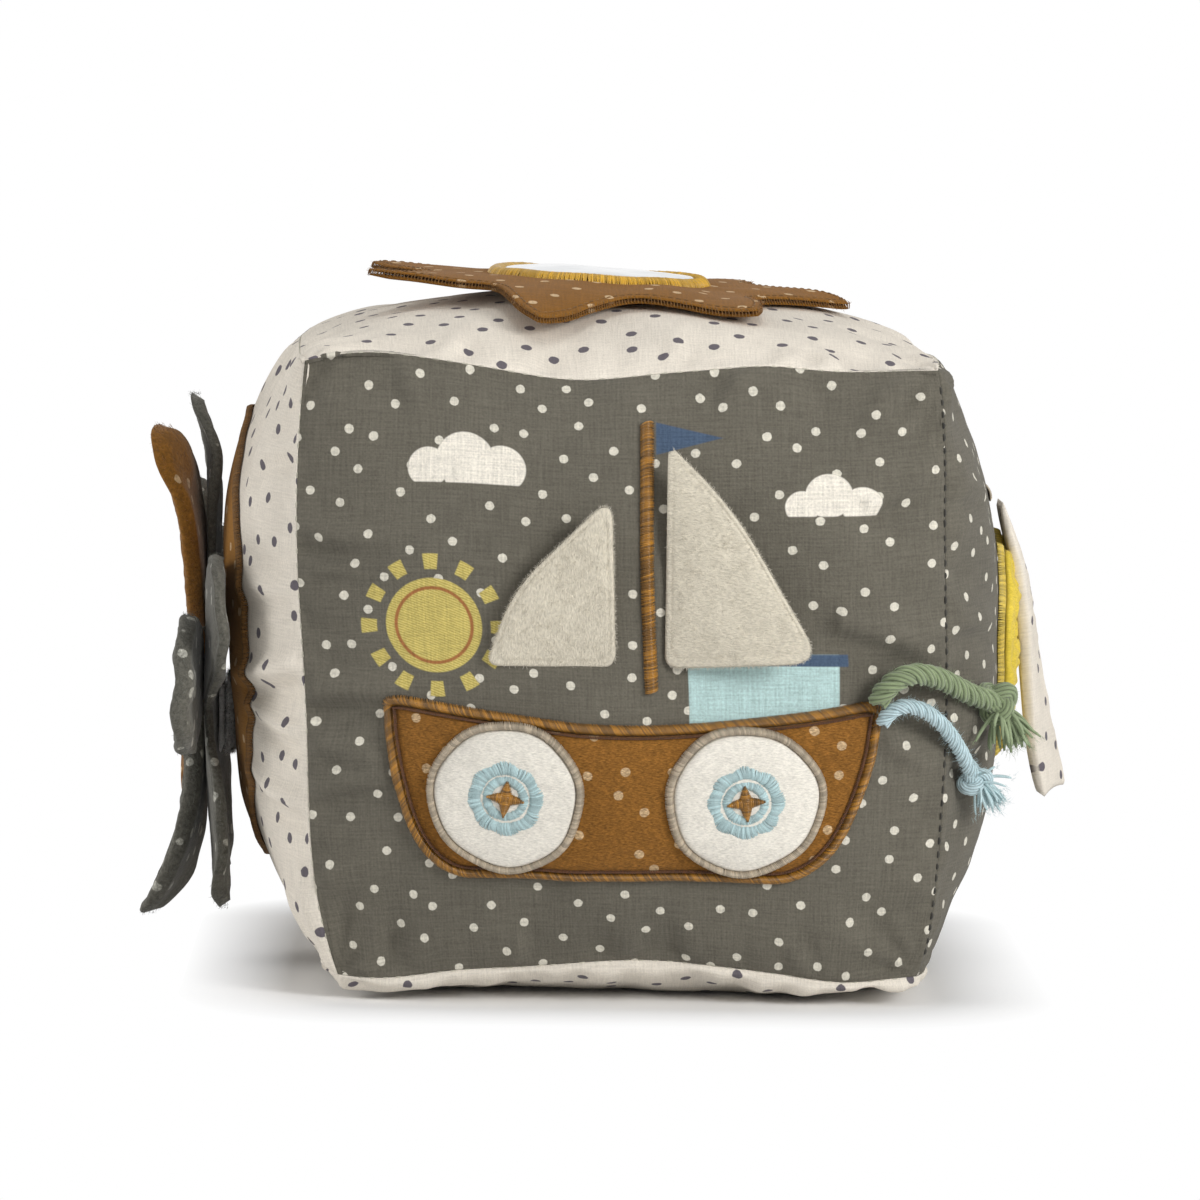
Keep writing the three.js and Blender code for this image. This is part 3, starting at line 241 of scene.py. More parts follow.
# The camera that the photo was taken with: degrees, metres, and pixels of a picture this wide
CAMERA_AZIMUTH = 1.424
CAMERA_ELEVATION = 5.604
CAMERA_ROLL = 0.84
CAMERA_AWAY = 1.0829
PICTURE_WIDTH = 1200
FOCAL_LENGTH = 5710.3
PICTURE_SHIFT = (-15.0, 40.2)
SENSOR_WIDTH = 36
# Round lamps, in metres: place, width and power
LAMPS = {
    "key": ((0.62, -0.70, 0.42), 0.36, 6.1),
    "fill": ((-1.1, -0.25, 0.45), 0.6, 4.4),
    "top": ((0.1, -0.2, 1.25), 0.6, 2.4),
}
LAMP_AIM = (0, 0, 0.06)
# The ground fades to the white backdrop from this far off the cube's footprint to this far
FOOTPRINT_HALF = 0.045
FADE_START = 0.015
FADE_END = 0.035

RELIEF = {}
MATERIALS = {}


def tone(code):
    """The linear colour of a web colour code."""
    parts = [int(code[i:i + 2], 16) / 255 for i in (1, 3, 5)]
    return tuple(p / 12.92 if p <= 0.04045 else ((p + 0.055) / 1.055) ** 2.4 for p in parts)


def scaled(ground, strength):
    """A colour made darker or brighter."""
    return tuple(min(1, c * strength) for c in ground)


def colour(name, description, code):
    return FloatVectorProperty(
        name=name, description=description, default=tone(code), subtype="COLOR", size=3, min=0, max=1
    )


class ActivityCubeSettings(bpy.types.PropertyGroup):
    grey: colour("Grey cotton", "Ground colour of the front, right and back panels", "#5e5a50")
    cream: colour("Cream cotton", "Ground colour of the left, top and bottom panels", "#dad2c5")
    brown: colour("Brown cloth", "Ground colour of the brown velour", "#885c26")
    yellow: colour("Yellow velour", "Colour of the wavy patch on the right panel", "#d9bf45")
    white: colour("White velour", "Colour of the portholes, sails and tape", "#e2ddd2")
    gold: colour("Gold thread", "Colour of the boat's border, mast and stars", "#855b16")
    mustard: colour("Mustard thread", "Colour of the ring round the mirror", "#c79a22")
    green_cord: colour("Green cord", "Colour of the upper cord", "#84926e")
    blue_cord: colour("Blue cord", "Colour of the lower cord and of the light-blue print", "#bdd3d8")
    dot_size: FloatProperty(
        name="Dot size", description="Width of a printed dot", default=0.0016,
        min=0.0005, max=0.01, unit="LENGTH", subtype="DISTANCE",
    )
    dot_spacing: FloatProperty(
        name="Dot spacing", description="Typical distance from one printed dot to the next", default=0.0071,
        min=0.003, max=0.03, unit="LENGTH", subtype="DISTANCE",
    )
    stitch_pitch: FloatProperty(
        name="Satin stitch pitch", description="Distance from one satin stitch to the next", default=0.0003,
        min=0.0002, max=0.002, unit="LENGTH", subtype="DISTANCE",
    )
    panel_cells: IntProperty(
        name="Panel cells", description="Cells across a panel between its turned-in edges", default=124,
        min=20, max=200,
    )


def settings():
    return bpy.context.scene.activity_cube


# The stuffed cube's skin

def unit(vectors):
    """Directions of length 1 for rows of vectors."""
    return vectors / np.maximum(np.linalg.norm(vectors, axis=-1, keepdims=True), 1e-9)


def half_height(face):
    """Half the distance between a face's lower and upper seams."""
    return BODY_HALF if face in ("top", "bottom") else BODY_HALF_HEIGHT


def sway(points):
    """A slow unevenness, the same for all the cloth, in millimetres."""
    x, y, z = points[..., 0], points[..., 1], points[..., 2]
    return np.stack([
        0.45 * np.sin(x / 17 + y / 23 + 1.3) + 0.30 * np.sin(z / 9.5 - y / 31 + 0.4),
        0.45 * np.sin(x / 21 - z / 19 + 2.1) + 0.25 * np.sin(x / 11 + z / 37 + 4.0),
        0.40 * np.sin(x / 13 - y / 29 + 0.9) + 0.30 * np.sin(x / 8.5 + y / 17 + 3.1),
    ], -1)


def skin(face, u, v, inset=0.0):
    """Points of the stuffed skin over places in millimetres from the middle of a face."""
    out, right, up = (np.array(axis, float) for axis in AXES[face])
    tall = half_height(face)
    s, t = u / BODY_HALF, v / tall
    crown = (1 - np.minimum(1, np.abs(s)) ** CROWN_POWER) * (1 - np.minimum(1, np.abs(t)) ** CROWN_POWER)
    away = (BODY_HALF_HEIGHT if face in ("top", "bottom") else BODY_HALF) - inset + BULGES[face] * crown
    point = away[..., None] * out
    point = point + (s * (BODY_HALF - inset))[..., None] * right + (t * (tall - inset))[..., None] * up
    if face == "bottom":
        gap = np.maximum((1 - np.maximum(np.abs(s), np.abs(t))) * BODY_HALF, 0)
        point = point + (BOTTOM_SWELL * (1 - np.exp(-gap / BOTTOM_SWELL_REACH)))[..., None] * out
        for share, other, axis in ((s, t, right), (t, s, up)):
            near = np.maximum(0, 1 - np.abs(share)) * BODY_HALF / LOW_EDGE_REACH
            swell = LOW_EDGE_SWELL * near * np.exp(1 - near) * (1 - np.minimum(1, np.abs(other)) ** 10)
            point = point + (np.sign(share) * swell)[..., None] * axis
    return settle(point)


def waves_at(x, waves):
    """Height of a seam's waves at x."""
    return sum(height * np.exp(-((x - middle) / reach) ** 2) for middle, reach, height in waves)


def settle(point):
    """Turns points of the regular stuffed cube into the slightly uneven real one."""
    x, y, z = point[..., 0], point[..., 1], point[..., 2]
    rise = z / BODY_HALF_HEIGHT
    aside = np.minimum(1, np.abs(x) / BODY_HALF)
    deep = np.minimum(1, np.abs(y) / BODY_HALF)
    up = np.minimum(1, np.abs(rise))
    draw = np.where(rise < 0, LOWER_CORNER_DRAW, UPPER_CORNER_DRAW) * (aside * deep * up) ** CORNER_REACH
    bow = SEAM_BOW * aside * (1 - up * up)
    dip = SEAM_DIP * rise * (1 - aside * aside)
    lift = np.where(rise < 0, draw * LOWER_CORNER_LIFT, -draw)
    placed = np.stack([
        x * (1 + TOP_WIDER * rise) + LEAN * rise + np.sign(x) * (bow - draw),
        y - np.sign(y) * draw,
        z - dip + lift + CENTRE_Z,
    ], -1)
    placed = placed + sway(placed) * np.clip(placed[..., 2:] / 12, 0, 1)
    frontwards = np.clip(-y / BODY_HALF, 0, 1) ** 5
    placed[..., 2] += waves_at(x, TOP_SEAM_WAVES) * frontwards * np.clip(rise, 0, 1) ** 6
    placed[..., 2] += waves_at(x, LOW_SEAM_WAVES) * frontwards * np.clip(-rise, 0, 1) ** 6
    placed[..., 2] = np.maximum(placed[..., 2], 0)
    return placed


def eased(share):
    """A share from 0 to 1 that starts and ends slowly."""
    return share * share * (3 - 2 * share)


def relief_at(face, u, v):
    """Height of the creases and puckers of a face's cloth at given places, in millimetres."""
    if face not in RELIEF:
        return np.zeros(np.broadcast(u, v).shape)
    heights = RELIEF[face]
    last = heights.shape[0] - 1
    tall = half_height(face)
    x = np.clip((u / BODY_HALF + 1) / 2 * last, 0, last - 1e-6)
    y = np.clip((v / tall + 1) / 2 * last, 0, last - 1e-6)
    i, j = x.astype(int), y.astype(int)
    a, b = eased(x - i), eased(y - j)
    low = heights[j, i] * (1 - a) + heights[j, i + 1] * a
    high = heights[j + 1, i] * (1 - a) + heights[j + 1, i + 1] * a
    # two panels share their seam, so the relief fades out there
    gap = (1 - np.minimum(1, np.maximum(np.abs(u) / BODY_HALF, np.abs(v) / tall))) * BODY_HALF
    return (low * (1 - b) + high * b) * (1 - np.exp(-gap / 1.2))


def over_face(face, u, v, lift=0.0):
    """Points at lift above a face's creased cloth, in millimetres."""
    u, v, lift = (np.asarray(a, float) for a in np.broadcast_arrays(u, v, lift))
    step = 0.4
    along = skin(face, u + step, v) - skin(face, u - step, v)
    across = skin(face, u, v + step) - skin(face, u, v - step)
    normal = unit(np.cross(along, across))
    normal *= np.sign((normal * np.array(AXES[face][0])).sum(-1, keepdims=True))
    return skin(face, u, v) + normal * (lift + relief_at(face, u, v))[..., None]


def soft_noise(x, y, seed):
    """Smooth noise between -1 and 1 on a seeded lattice."""
    size = 64
    lattice = np.random.default_rng(seed).uniform(-1, 1, (size, size))
    i, j = np.floor(x).astype(int), np.floor(y).astype(int)
    a, b = eased(x - i), eased(y - j)
    left, right, below, above = i % size, (i + 1) % size, j % size, (j + 1) % size
    low = lattice[below, left] * (1 - a) + lattice[below, right] * a
    high = lattice[above, left] * (1 - a) + lattice[above, right] * a
    return low * (1 - b) + high * b


def crease(u, v, start_u, start_v, end_u, end_v, height, width):
    """A fold from a start that is held by a seam to an end that runs out in the cloth."""
    du, dv = end_u - start_u, end_v - start_v
    length = np.hypot(du, dv)
    along = ((u - start_u) * du + (v - start_v) * dv) / length ** 2
    aside = ((v - start_v) * du - (u - start_u) * dv) / length * np.sign(du if abs(du) > abs(dv) else 1)
    aside = aside + 0.6 * np.sin(along * 5 + start_v)
    fade = np.clip(1 - np.clip(along, 0, 2) ** 2, 0, 1) * (along > -0.1)
    profile = 1.65 * aside / width * np.exp(-(aside / width) ** 2) + 0.35 * np.exp(-(aside / width) ** 2)
    return 1.35 * height * fade * profile


def rise_and_fall(away, start, reach):
    """From 0 at a seam or corner up over the start, and down again over the reach."""
    return np.exp(-away / reach) * (1 - np.exp(-away / start))


def make_relief():
    """Puckers along the seams, folds out of the corners and lumps of filling, for each face."""
    line = np.linspace(-1, 1, RELIEF_PLACES)
    for number, face in enumerate(AXES):
        tall = half_height(face)
        u, v = np.meshgrid(line * BODY_HALF, line * tall)
        heights = 0.55 * soft_noise(u / 24, v / 24, 10 + number)
        heights = heights + 0.22 * soft_noise(u / 9, v / 9, 20 + number)
        edges = ((BODY_HALF - u, v), (BODY_HALF + u, v), (tall - v, u), (tall + v, u))
        for k, (away, along) in enumerate(edges):
            seed = 40 + 4 * number + k
            wandering = along + 0.25 * away * soft_noise(along / 14, away / 20, seed + 100)
            for height, width, length, start, reach, seed_shift, wanders in SEAM_PUCKERS:
                place = wandering if wanders else along
                ridges = soft_noise(place / width, away / length, seed + seed_shift)
                heights = heights + height * ridges * rise_and_fall(away, start, reach)
        for side in (-1, 1):
            for end in (-1, 1):
                du, dv = side * BODY_HALF - u, end * tall - v
                away, turn = np.hypot(du, dv), np.arctan2(dv * end, du * side)
                ridges = soft_noise(turn * 4.2 + 8, away / 60, 300 + number * 4 + side + 2 * end)
                heights = heights + 1.5 * ridges * rise_and_fall(away, 5, 15)
        seam_away = np.minimum(BODY_HALF - np.abs(u), tall - np.abs(v))
        for fold in FOLDS[face]:
            heights = heights + crease(u, v, *fold) * (1 - np.exp(-seam_away / 1.6))
        for middle_u, middle_v, reach, height in SWELLS.get(face, ()):
            heights = heights + height * np.exp(-((u - middle_u) ** 2 + (v - middle_v) ** 2) / reach ** 2)
        if face == "left":
            # the sewn tape holds the cloth down
            heights = heights - 1.3 * np.exp(-((u / 13) ** 2 + ((v + TAPE_DROP) / 10) ** 2))
        RELIEF[face] = np.clip(RELIEF_STRENGTH * heights, -RELIEF_MOST, RELIEF_MOST)


# Meshes

def new_piece(name, mesh, material, body="cube"):
    """Links a finished mesh as a piece that rides on a body of the frame."""
    mesh.name = name
    piece = bpy.data.objects.new(name, mesh)
    bpy.context.scene.collection.objects.link(piece)
    mesh.materials.append(material)
    mesh.shade_smooth()
    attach(piece, body)
    return piece


def mesh_from(work, name):
    """A new mesh of the shape that the operators have made."""
    mesh = bpy.data.meshes.new(name)
    work.to_mesh(mesh)
    work.free()
    return mesh


def set_places(mesh, places):
    mesh.vertices.foreach_set("co", np.ascontiguousarray(places, np.float32).ravel())
    mesh.update()


def places_of(mesh):
    places = np.empty(len(mesh.vertices) * 3, np.float32)
    mesh.vertices.foreach_get("co", places)
    return places.reshape(-1, 3).astype(float)


def set_attribute(mesh, name, values):
    """Writes one number for each vertex, which the materials read."""
    attribute = mesh.attributes.new(name, "FLOAT", "POINT")
    attribute.data.foreach_set("value", np.asarray(values, np.float32).ravel())


def set_cloth_map(mesh, places):
    """Writes the piece's own map: metres across and along the cloth at each corner of each face."""
    corners = np.empty(len(mesh.loops), np.int32)
    mesh.loops.foreach_get("vertex_index", corners)
    layer = mesh.uv_layers.new(name="cloth")
    layer.data.foreach_set("uv", (np.asarray(places)[corners] * MM).astype(np.float32).ravel())


def grid_mesh(across, along):
    """A flat grid with x and y from 0 to 1, and its vertices' column and row numbers."""
    work = bmesh.new()
    bmesh.ops.create_grid(work, x_segments=across, y_segments=along, size=0.5)
    bmesh.ops.translate(work, verts=work.verts, vec=(0.5, 0.5, 0))
    mesh = mesh_from(work, "grid")
    places = places_of(mesh)
    column = np.rint(places[:, 0] * across).astype(int)
    row = np.rint(places[:, 1] * along).astype(int)
    return mesh, column, row


def disc_mesh(sides, rings):
    """A flat round net of rings, and its vertices' ring and side numbers. The middle is ring 0."""
    work = bmesh.new()
    bmesh.ops.create_circle(work, cap_ends=True, cap_tris=True, segments=sides, radius=1)
    for ring in range(2, rings + 1):
        rim = [edge for edge in work.edges if edge.is_boundary]
        made = bmesh.ops.extrude_edge_only(work, edges=rim)["geom"]
        outer = [item for item in made if isinstance(item, bmesh.types.BMVert)]
        bmesh.ops.scale(work, vec=(ring / (ring - 1), ring / (ring - 1), 1), verts=outer)
    mesh = mesh_from(work, "disc")
    places = places_of(mesh)
    ring = np.rint(np.hypot(places[:, 0], places[:, 1])).astype(int)
    side = np.rint(np.arctan2(places[:, 1], places[:, 0]) / (2 * np.pi) * sides).astype(int) % sides
    return mesh, ring, side


def tube_mesh(sides, rings):
    """A closed tube's net: the turn round it and the share along it for each vertex, before it is placed."""
    mesh, column, row = grid_mesh(sides, rings)
    return mesh, column / sides * 2 * np.pi, row / rings


def mend_mesh(mesh, gap=1e-7, close=False):
    """Joins doubled vertices, closes the open ends where asked, and points the faces outwards."""
    work = bmesh.new()
    work.from_mesh(mesh)
    bmesh.ops.remove_doubles(work, verts=work.verts, dist=gap)
    if close:
        bmesh.ops.holes_fill(work, edges=[edge for edge in work.edges if edge.is_boundary], sides=0)
    bmesh.ops.recalc_face_normals(work, faces=work.faces)
    work.to_mesh(mesh)
    work.free()
    return mesh


def repeated(base, count):
    """A mesh of count copies of a small mesh, one after another in its vertex order."""
    work = bmesh.new()
    double = base.copy()
    left = count
    while left:
        if left & 1:
            work.from_mesh(double)
        left >>= 1
        if left:
            pair = bmesh.new()
            pair.from_mesh(double)
            pair.from_mesh(double)
            pair.to_mesh(double)
            pair.free()
    bpy.data.meshes.remove(double)
    return mesh_from(work, "copies")


def small_tube(sides, rings):
    """A short closed thread: x from -0.5 to 0.5 along it, y and z across it with a radius of 1."""
    work = bmesh.new()
    bmesh.ops.create_cone(work, cap_ends=True, segments=sides, radius1=1, radius2=1, depth=1)
    for k in range(1, rings):
        level = k / rings - 0.5
        bmesh.ops.bisect_plane(
            work, geom=[*work.verts, *work.edges, *work.faces], plane_co=(0, 0, level), plane_no=(0, 0, 1)
        )
    bmesh.ops.rotate(work, verts=work.verts, matrix=Matrix.Rotation(math.pi / 2, 3, "Y"))
    return mesh_from(work, "thread")


def many_tubes(count, sides, rings):
    """A mesh of count small tubes, and the vertices' places in one of them."""
    base = small_tube(sides, rings)
    shape = places_of(base)
    mesh = repeated(base, count)
    bpy.data.meshes.remove(base)
    return mesh, shape


def place_tubes(name, mesh, shape, centre, side, above, radii, tones, material, body="cube"):
    """Puts each small tube round a line of its own, with a tone of its own, and links all as one piece."""
    places = centre + side[:, None] * shape[None, :, 1:2] * radii
    places = places + above[:, None] * shape[None, :, 2:3] * radii
    set_places(mesh, places.reshape(-1, 3) * MM)
    set_attribute(mesh, "tone", np.repeat(tones, len(shape)))
    return new_piece(name, mesh, material, body)


def threads(name, starts, ends, arches, radius, material, seed, rings=5, sides=5):
    """Many short threads from starts to ends (n x 3, millimetres) that arch up by arches (n x 3)."""
    count = len(starts)
    mesh, shape = many_tubes(count, sides, rings)
    share = shape[:, 0] + 0.5
    forward = unit(ends - starts)
    side = unit(np.cross(forward, unit(arches)))
    bow = (1 - np.abs(2 * share - 1) ** 2.2)[None, :, None]
    fat = (1 - 0.45 * np.abs(2 * share - 1) ** 5)[None, :, None]
    radii = np.broadcast_to(radius, (count,))[:, None, None] * fat
    centre = starts[:, None] + (ends - starts)[:, None] * share[None, :, None] + arches[:, None] * bow
    tones = np.random.default_rng(seed).uniform(0, 1, count)
    return place_tubes(name, mesh, shape, centre, side, np.cross(side, forward), radii, tones, material)


def fibres(name, roots, aims, length, radius, material, seed, body="cube"):
    """Loose fibres from roots along aims (n x 3, millimetres), each bent its own way and thin at its tip."""
    curl, tip_thin = 0.5, 0.7
    count = len(roots)
    mesh, shape = many_tubes(count, 3, 3)
    chance = np.random.default_rng(seed)
    share = (shape[:, 0] + 0.5)[None, :, None]
    aims = unit(aims)
    side = unit(np.cross(aims, chance.normal(0, 1, (count, 3))))
    lengths = (length * chance.uniform(0.45, 1.25, count))[:, None, None]
    centre = roots[:, None] + aims[:, None] * share * lengths + side[:, None] * (curl * share ** 2 * lengths)
    radii, tones = radius * (1 - tip_thin * share), chance.uniform(0, 1, count)
    return place_tubes(name, mesh, shape, centre, side, np.cross(aims, side), radii, tones, material, body)


# Materials

class Finish:
    """One procedural material, put together node by node and kept in MATERIALS under its name."""

    def __init__(self, name, roughness=0.9, sheen=0.0, sheen_roughness=0.5, specular=0.25):
        self.material = MATERIALS[name] = bpy.data.materials.new(name)
        self.material.use_nodes = True
        self.nodes = self.material.node_tree.nodes
        self.links = self.material.node_tree.links
        self.shader = self.nodes["Principled BSDF"]
        self.shader.inputs["Roughness"].default_value = roughness
        self.shader.inputs["Sheen Weight"].default_value = sheen
        self.shader.inputs["Sheen Roughness"].default_value = sheen_roughness
        self.shader.inputs["Specular IOR Level"].default_value = specular

    def node(self, kind, inputs=(), **made_with):
        made = self.nodes.new(kind)
        for key, value in made_with.items():
            setattr(made, key, value)
        for socket, value in dict(inputs).items():
            self.feed(made.inputs[socket], value)
        return made

    def feed(self, socket, value):
        if isinstance(value, bpy.types.NodeSocket):
            self.links.new(value, socket)
        else:
            socket.default_value = value

    def maths(self, operation, first, second=0.0, third=0.0):
        return self.node("ShaderNodeMath", {0: first, 1: second, 2: third}, operation=operation).outputs[0]

    def soft_step(self, value, low, high):
        """0 where value is under low, 1 where it is over high."""
        made = self.node("ShaderNodeMapRange", {"Value": value, "From Min": low, "From Max": high})
        made.interpolation_type = "SMOOTHSTEP"
        return made.outputs["Result"]

    def remap(self, value, low, high, new_low, new_high):
        made = self.node("ShaderNodeMapRange", {
            "Value": value, "From Min": low, "From Max": high, "To Min": new_low, "To Max": new_high,
        })
        return made.outputs["Result"]

    def blend(self, factor, first, second):
        made = self.node("ShaderNodeMix", data_type="RGBA")
        self.feed(made.inputs["Factor"], factor)
        for socket, value in (("A", first), ("B", second)):
            colours = [item for item in made.inputs if item.name == socket and item.type == "RGBA"]
            self.feed(colours[0], value if isinstance(value, bpy.types.NodeSocket) else (*value, 1))
        return [item for item in made.outputs if item.type == "RGBA"][0]

    def mottled(self, pattern, low, high, ground, dark, light):
        """The ground colour, darker where the pattern is low and lighter where it is high."""
        return self.blend(self.remap(pattern, low, high, 0, 1), scaled(ground, dark), scaled(ground, light))

    def shade(self, tint, strength):
        """A colour times a strength."""
        return self.node("ShaderNodeVectorMath", {0: tint, "Scale": strength}, operation="SCALE").outputs[0]

    def objects(self):
        return self.node("ShaderNodeTexCoord").outputs["Object"]

    def cloth(self):
        """The piece's own map, in metres across and along its cloth."""
        return self.node("ShaderNodeUVMap", uv_map="cloth").outputs["UV"]

    def stretched(self, vector, scale, turn=0.0):
        return self.node(
            "ShaderNodeMapping", {"Vector": vector, "Scale": scale, "Rotation": (0, 0, turn)}
        ).outputs["Vector"]

    def noise(self, vector, scale, detail, roughness=0.5):
        return self.node("ShaderNodeTexNoise", {
            "Vector": vector, "Scale": scale, "Detail": detail, "Roughness": roughness,
        }).outputs["Fac"]

    def attribute(self, name):
        return self.node("ShaderNodeAttribute", attribute_name=name).outputs["Fac"]

    def paint(self, tint):
        self.feed(self.shader.inputs["Base Color"], tint)

    def bump(self, height, distance, strength):
        made = self.node("ShaderNodeBump", {"Height": height, "Distance": distance, "Strength": strength})
        self.feed(self.shader.inputs["Normal"], made.outputs["Normal"])

    def dots(self, place, size, spacing, randomness=0.52, shift=(0.0, 0.0, 0.0), solid=False):
        """1 inside the printed dots, which have a slightly uneven rim. The map is in metres."""
        uneven, soft_rim, row_turn = 0.00006, 0.00009, 0.52
        moved = self.node(
            "ShaderNodeMapping", {"Vector": place, "Location": shift, "Rotation": (0, 0, row_turn)}
        ).outputs["Vector"]
        cells = self.node(
            "ShaderNodeTexVoronoi",
            {"Vector": moved, "Scale": 1 / spacing, "Randomness": randomness},
            voronoi_dimensions="3D" if solid else "2D", feature="F1",
        )
        distance = self.maths("MULTIPLY", cells.outputs["Distance"], spacing)
        wobble = self.remap(self.noise(moved, 1500, 2), 0.3, 0.7, -uneven, uneven)
        return self.soft_step(self.maths("ADD", distance, wobble), size / 2 + soft_rim, size / 2 - soft_rim)


def weave(finish, place, pitch):
    """Height of a plain weave, from 0 to 1, with uneven threads."""
    rows = []
    for stretch in ((1 / pitch, 0.06 / pitch, 1), (0.06 / pitch, 1 / pitch, 1)):
        rows.append(finish.noise(finish.stretched(place, stretch), 1.0, 1.5, 0.6))
    grain = finish.noise(place, 0.9 / pitch, 2.0, 0.6)
    both_ways = finish.maths("ADD", rows[0], rows[1])
    return finish.maths("MULTIPLY_ADD", grain, 0.6, finish.maths("MULTIPLY", both_ways, 0.5))


def cotton(name, ground, dot, shift, dot_mix=0.92, prints=None, larger=1.0, pitch=0.00030, contrast=1.0):
    """Plain-woven cotton with small printed dots, which stop at a turned-in rim."""
    kept = settings()
    finish = Finish(name, roughness=0.94, sheen=0.05, sheen_roughness=0.6, specular=0.2)
    place = finish.cloth()
    threads_height = weave(finish, place, pitch)
    tint = finish.mottled(finish.noise(place, 55, 3, 0.6), 0.3, 0.7, ground, 0.93, 1.06)
    print_free = 1.0
    if prints:
        tint, print_free = prints(finish, place, tint)
    spots = finish.dots(place, kept.dot_size * larger, kept.dot_spacing * (0.5 + 0.5 * larger), shift=shift)
    inside_rim = finish.maths("SUBTRACT", 1.0, finish.attribute("rim"))
    spots = finish.maths("MULTIPLY", spots, finish.maths("MULTIPLY", inside_rim, dot_mix))
    spots = finish.maths("MULTIPLY", spots, print_free)
    tint = finish.blend(spots, tint, dot)
    # painted shade: low weave threads darker and raised ones lighter, as strong as the contrast
    shade = finish.remap(threads_height, 0.3, 1.1, 0.98 - 0.22 * contrast, 0.98 + 0.22 * contrast)
    finish.paint(finish.shade(tint, shade))
    finish.bump(threads_height, 0.00018, 0.8)


def velour(name, ground, dot=None, dot_size=None, dot_spacing=None, pile=0.00030, sheen=0.45, depth=0.5,
           contrast=1.0, solid=False):
    """Short brushed pile with optional printed dots. A solid one's pattern goes on round the piece's rim."""
    finish = Finish(name, roughness=0.95, sheen=sheen, sheen_roughness=0.42, specular=0.2)
    finish.shader.inputs["Sheen Tint"].default_value = (*[min(1, 0.4 + 0.6 * c) for c in ground], 1)
    place = finish.objects() if solid else finish.cloth()
    leant = (0.6 / pile, 0.6 / pile, 0.6 / pile) if solid else (0.42 / pile, 1.2 / pile, 1)
    tufts = finish.noise(finish.stretched(place, leant, 0.6), 1.0, 2.5, 0.7)
    clumps = finish.noise(place, 0.22 / pile, 3, 0.65)
    tint = finish.mottled(finish.noise(place, 45, 3, 0.6), 0.32, 0.68, ground, 0.90, 1.08)
    if dot is not None:
        spots = finish.dots(place, dot_size, dot_spacing, 0.6, solid=solid)
        seen = finish.remap(tufts, 0.3, 0.75, 0.55, 1.0)
        if not solid:
            seen = finish.maths("MULTIPLY", seen, finish.maths("SUBTRACT", 1.0, finish.attribute("rim")))
        tint = finish.blend(finish.maths("MULTIPLY", spots, seen), tint, dot)
    # painted shade: the pile darker where tufts and clumps are low, lighter where high, as strong as the
    # contrast
    shade = finish.maths(
        "MULTIPLY", finish.remap(tufts, 0.25, 0.75, 1 - 0.26 * contrast, 1 + 0.2 * contrast),
        finish.remap(clumps, 0.3, 0.7, 1 - 0.08 * contrast, 1 + 0.06 * contrast),
    )
    finish.paint(finish.shade(tint, shade))
    finish.bump(finish.maths("MULTIPLY_ADD", clumps, 0.7, tufts), pile, depth)


def thread(name, ground, dark, light, roughness):
    """Shiny embroidery or dull sewing thread, a little different per stitch, with painted glints."""
    finish = Finish(name, roughness=roughness, sheen=0.1, specular=0.5)
    # a random tone per stitch, between darker and lighter copies; the light ones are painted glints
    glint = finish.maths("POWER", finish.attribute("tone"), 1.5)
    strand = finish.noise(finish.objects(), 5200, 2, 0.6)
    tint = finish.blend(glint, scaled(ground, dark), scaled(ground, light))
    finish.paint(finish.shade(tint, finish.remap(strand, 0.3, 0.7, 0.84, 1.12)))
    finish.bump(strand, 0.00008, 0.5)


def cord_cotton(name, ground):
    """Soft twisted cotton: the fine fibres follow each ply's own map."""
    finish = Finish(name, roughness=0.9, sheen=0.35)
    place = finish.cloth()
    strands = finish.noise(finish.stretched(place, (9000, 700, 1), 0.5), 1.0, 2, 0.6)
    tint = finish.mottled(finish.noise(place, 260, 2), 0.3, 0.7, ground, 0.86, 1.1)
    # the grooves between the yarns lie in shadow
    between = finish.remap(finish.attribute("yarn"), 0.0, 0.8, 0.42, 1.10)
    shade = finish.maths("MULTIPLY", between, finish.remap(strands, 0.3, 0.7, 0.84, 1.14))
    finish.paint(finish.shade(tint, shade))
    finish.bump(strands, 0.00016, 0.8)


